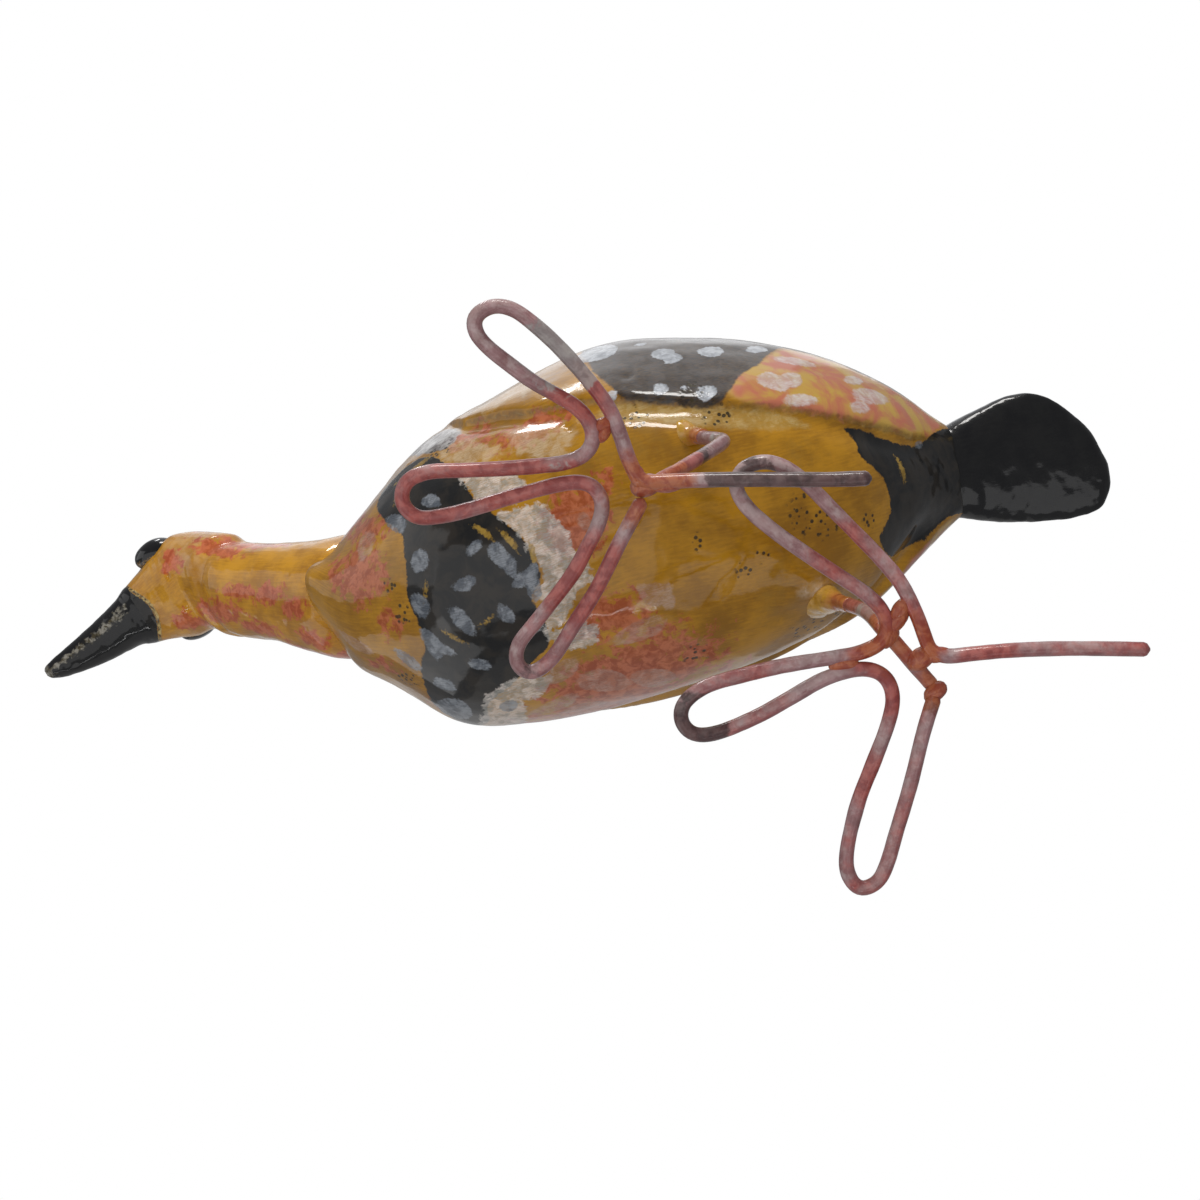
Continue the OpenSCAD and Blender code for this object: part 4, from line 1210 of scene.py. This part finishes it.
# A lump is a ball stretched and turned on the ground plane, its surface pushed in and
# out by noise, and kept above the ground.
def weldShell(x, y, z, long, short, high, heading, seed):
    ball = ballRings(48, 56)
    radius = 1 + 0.07 * lumps(ball * 1.6, 1.0, seed) + 0.025 * lumps(ball * 5.0, 1.0, seed + 7)
    shape = ball * radius[..., None] * np.array([long, short, high])
    c, s = math.cos(math.radians(heading)), math.sin(math.radians(heading))
    turned = np.stack([
        shape[..., 0] * c - shape[..., 1] * s,
        shape[..., 0] * s + shape[..., 1] * c,
        shape[..., 2],
    ], -1)
    grid = turned + np.array([x, y, z])
    grid[..., 2] = np.maximum(grid[..., 2], 0.02)
    places = {key: [(x, y, z, reach)] for key, reach in weldReach.items()}
    return shellFromRings(grid, wireFields(grid, ball[..., 0] * 4, ball[..., 1] * 4, places))


for name, weld in welds.items():
    shells = [weldShell(*lump, weld["seed"] + number) for number, lump in enumerate(weld["lumps"])]
    finishPiece(solidFromShells(name, *shells), wireMaterial, weld["node"])


# The filler round each leg: where it starts and ends, its widest and narrowest radius,
# and how far it reaches into the body.
fillers = {
    "leftLegFiller": {
        "node": "left_leg_filler", "top": (26, 11.4, 58.8), "bottom": (26.2, 15.0, 50.6),
        "wide": 3.9, "narrow": 1.9, "inside": 3.0, "facets": [(1, 0.35, 4.0, 110), (1, 0.12, 1.6, 111)],
    },
    "rightLegFiller": {
        "node": "right_leg_filler", "top": (-21.6, 38.2, 65.5), "bottom": (-20.0, 43.4, 44.0),
        "wide": 6.6, "narrow": 1.86, "inside": 7.0, "facets": [(1, 0.35, 4.0, 120), (1, 0.12, 1.6, 121)],
    },
}


# Filler pressed round the wire: a trumpet that narrows from the body down the leg,
# its radius a smooth curve from wide to narrow with thumb marks pushed into it.
def makeFiller(name, filler):
    top, bottom = np.array(filler["top"], float), np.array(filler["bottom"], float)
    way = unit(bottom - top)
    side = unit(np.cross(way, np.array([0, 1.0, 0.1])))
    up = np.cross(side, way)
    part = np.linspace(0, 1, 60)[:, None]
    angle = np.linspace(0, 2 * math.pi, 72, endpoint=False)[None]
    spread = (filler["wide"] - filler["narrow"]) * (1 - part) ** 1.8 * smoothStep(-0.02, 0.10, part)
    radius = filler["narrow"] + spread
    length = np.linalg.norm(bottom - top) + filler["inside"]
    centre = top - way * filler["inside"] + part[..., None] * length * way
    grid = centre + radius[..., None] * (np.cos(angle)[..., None] * side + np.sin(angle)[..., None] * up)
    normal = ringNormals(grid)
    grid = grid + normal * facetsHeight(filler["facets"], grid)[..., None]
    along = part * length + 0 * angle
    fields = {
        "along": along,
        "around": angle * 4 + 0 * part,
        "blush": 1.2 - np.abs(along - length * 0.75) * 0.35,
        "orange": (along - length * 0.72) * 0.6,
    }
    shell = shellFromRings(grid, fields)
    finishPiece(solidFromShells(name, shell), fillerMaterial, filler["node"])


fillerLayers = [
    paint("blush", 2.0, 2.6, 0.8, 0.5, (0.34, 0.06, 0.02), (0.54, 0.20, 0.06), 0.05),
    paint("orange", 2.4, 1.6, 1.0, 0.85, (0.40, 0.09, 0.03), (0.56, 0.19, 0.06), 0.05),
]
fillerGround = {"deep": (0.50, 0.25, 0.010), "light": (0.72, 0.42, 0.08), "mottle": 4.0}
fillerMaterial = layeredPaint("fillerPaint", fillerGround, fillerLayers, wood)
for name, filler in fillers.items():
    makeFiller(name, filler)


# The dowel keeps the CAD's own mesh and gets a plain wood material.
dowelMaterial, tree, shader, output = newMaterial("dowelWood")
stretch = {0: placeInMillimetres(tree), 1: (2.2, 0.25, 1.4)}
stretched = addNode(tree, "ShaderNodeVectorMath", stretch, operation="MULTIPLY").outputs[0]
grain = noise(tree, stretched, 1.0, 5.0, 0.6, 0.8)
setInputs(tree, shader, {
    "Base Color": mixColour(tree, ramp(tree, grain, 0.35, 0.65), (0.40, 0.25, 0.13), (0.62, 0.44, 0.26)),
    "Roughness": ramp(tree, grain, 0.3, 0.7, 0.5, 0.72),
    "Normal": bumpNode(tree, grain, 0.4, 0.0005),
})
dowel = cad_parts["neck_dowel"]
dowel.data.materials.clear()
dowel.data.materials.append(dowelMaterial)


# The camera stands below the bird and looks up; the roll and the turn are in degrees.
stage = {
    "roll": 12.0,
    "imageTurn": 10.0,
    "camera": (0.145888, -0.016534, -0.679640),
    "lens": 91.0,
    "sensor": 36.0,
    "aim": np.array([0.0, 0.0, 0.09]),
}
roll, imageTurn = math.radians(stage["roll"]), math.radians(stage["imageTurn"])
alongBird = np.array([0, 1.0, 0])
acrossBird = np.array([math.cos(roll), 0, math.sin(roll)])
towardCamera = np.array([math.sin(roll), 0, -math.cos(roll)])
imageRight = math.cos(imageTurn) * alongBird - math.sin(imageTurn) * acrossBird
imageUp = math.sin(imageTurn) * alongBird + math.cos(imageTurn) * acrossBird

cameraData = bpy.data.cameras.new("camera")
cameraData.lens = stage["lens"]
cameraData.sensor_width = stage["sensor"]
cameraData.clip_start = 0.01


# Adds a camera or a light at a place, with the directions of its own three axes.
def addPlaced(name, data, right, up, back, place):
    made = addObject(name, data)
    matrix = np.eye(4)
    matrix[:3] = np.column_stack([right, up, back, place])
    made.matrix_world = Matrix(matrix.tolist())
    return made


camera = addPlaced("camera", cameraData, imageRight, imageUp, towardCamera, stage["camera"])
bpy.context.scene.camera = camera


# A soft rectangular light that faces the bird. Its direction is an angle from the
# camera towards the top of the picture, and one towards the right of the picture.
def softLight(name, up, right, distance, width, height, strength, colour=(1, 1, 1)):
    a, b = math.radians(up), math.radians(right)
    direction = math.cos(a) * (math.cos(b) * towardCamera + math.sin(b) * imageRight) + math.sin(a) * imageUp
    data = bpy.data.lights.new(name, "AREA")
    data.shape = "RECTANGLE"
    data.size = width
    data.size_y = height
    data.energy = strength * width * height * math.pi
    data.color = colour
    steep = abs(up) >= 80
    sideways = unit(np.cross(imageRight if steep else imageUp, direction))
    upward = np.cross(direction, sideways)
    made = addPlaced(name, data, sideways, upward, direction, stage["aim"] + direction * distance)
    made.visible_camera = False
    return made


softLight("frontPanel", -14, -30, 1.1, 1.45, 1.0, 0.62)
softLight("keyBox", 77, -6, 0.95, 0.34, 0.22, 17.0, (1.0, 0.98, 0.95))
softLight("leftWindow", 126, 8, 1.2, 1.9, 0.95, 0.60, (0.97, 0.98, 1.0))
softLight("tableGlow", -106, 0, 0.95, 2.0, 0.72, 0.26, (1.0, 0.98, 0.96))
softLight("thinGlint", -50, -4, 1.2, 0.5, 0.02, 9.0)
softLight("skyPanel", 176, 0, 1.2, 1.5, 0.9, 0.30)
# seen only in the gloss of the neck and the tail
glossOnly = [
    softLight("neckPanel", 10, -86, 1.1, 1.0, 0.66, 0.75),
    softLight("lowNeckPanel", -47, -86, 1.1, 1.0, 0.62, 0.95),
    softLight("neckSpark", 55, -138, 0.9, 0.20, 0.09, 18.0),
    softLight("tailPanel", -38, 34, 1.0, 0.55, 0.46, 0.75),
]
for light in glossOnly:
    light.visible_diffuse = False
# spreads light without showing in the gloss
fill = softLight("fill", 14, 6, 1.4, 2.6, 1.8, 0.47)
fill.visible_glossy = False
print("camera and lights placed")

# A pale room that lights the bird softly; the camera itself sees plain white behind it.
world = bpy.data.worlds.new("paleRoom")
bpy.context.scene.world = world
world.use_nodes = True
tree = world.node_tree
tree.nodes.clear()
room = addNode(tree, "ShaderNodeBackground", {"Color": (0.86, 0.87, 0.90, 1), "Strength": 0.27})
clear = addNode(tree, "ShaderNodeBackground", {"Color": (1, 1, 1, 1), "Strength": 1.0})
seen = addNode(tree, "ShaderNodeLightPath").outputs["Is Camera Ray"]
both = addNode(tree, "ShaderNodeMixShader", {0: seen, 1: room.outputs[0], 2: clear.outputs[0]})
addNode(tree, "ShaderNodeOutputWorld", {"Surface": both.outputs[0]})

# The floor shows from above only, so that the camera can look through it from below.
floorMaterial, tree, shader, output = newMaterial("paleFloor")
shader.inputs["Roughness"].default_value = 0.6
cloud = noise(tree, placeInMillimetres(tree), 60.0, 3.0)
tree.links.new(mixColour(tree, cloud, (0.80, 0.80, 0.80), (0.86, 0.86, 0.85)), shader.inputs["Base Color"])
through = addNode(tree, "ShaderNodeBsdfTransparent")
facingBack = addNode(tree, "ShaderNodeNewGeometry").outputs["Backfacing"]
mixed = addNode(tree, "ShaderNodeMixShader", {0: facingBack, 1: shader.outputs[0], 2: through.outputs[0]})
tree.links.new(mixed.outputs[0], output.inputs["Surface"])
floorMesh = bpy.data.meshes.new("floor")
floorMesh.from_pydata([(-3, -3, 0), (3, -3, 0), (3, 3, 0), (-3, 3, 0)], [], [(0, 1, 2, 3)])
floor = addObject("floor", floorMesh)
floor.data.materials.append(floorMaterial)
for ray in ("shadow", "diffuse", "glossy", "transmission"):
    setattr(floor, "visible_" + ray, False)

bpy.context.scene.view_settings.view_transform = "Standard"
bpy.context.scene.view_settings.look = "None"
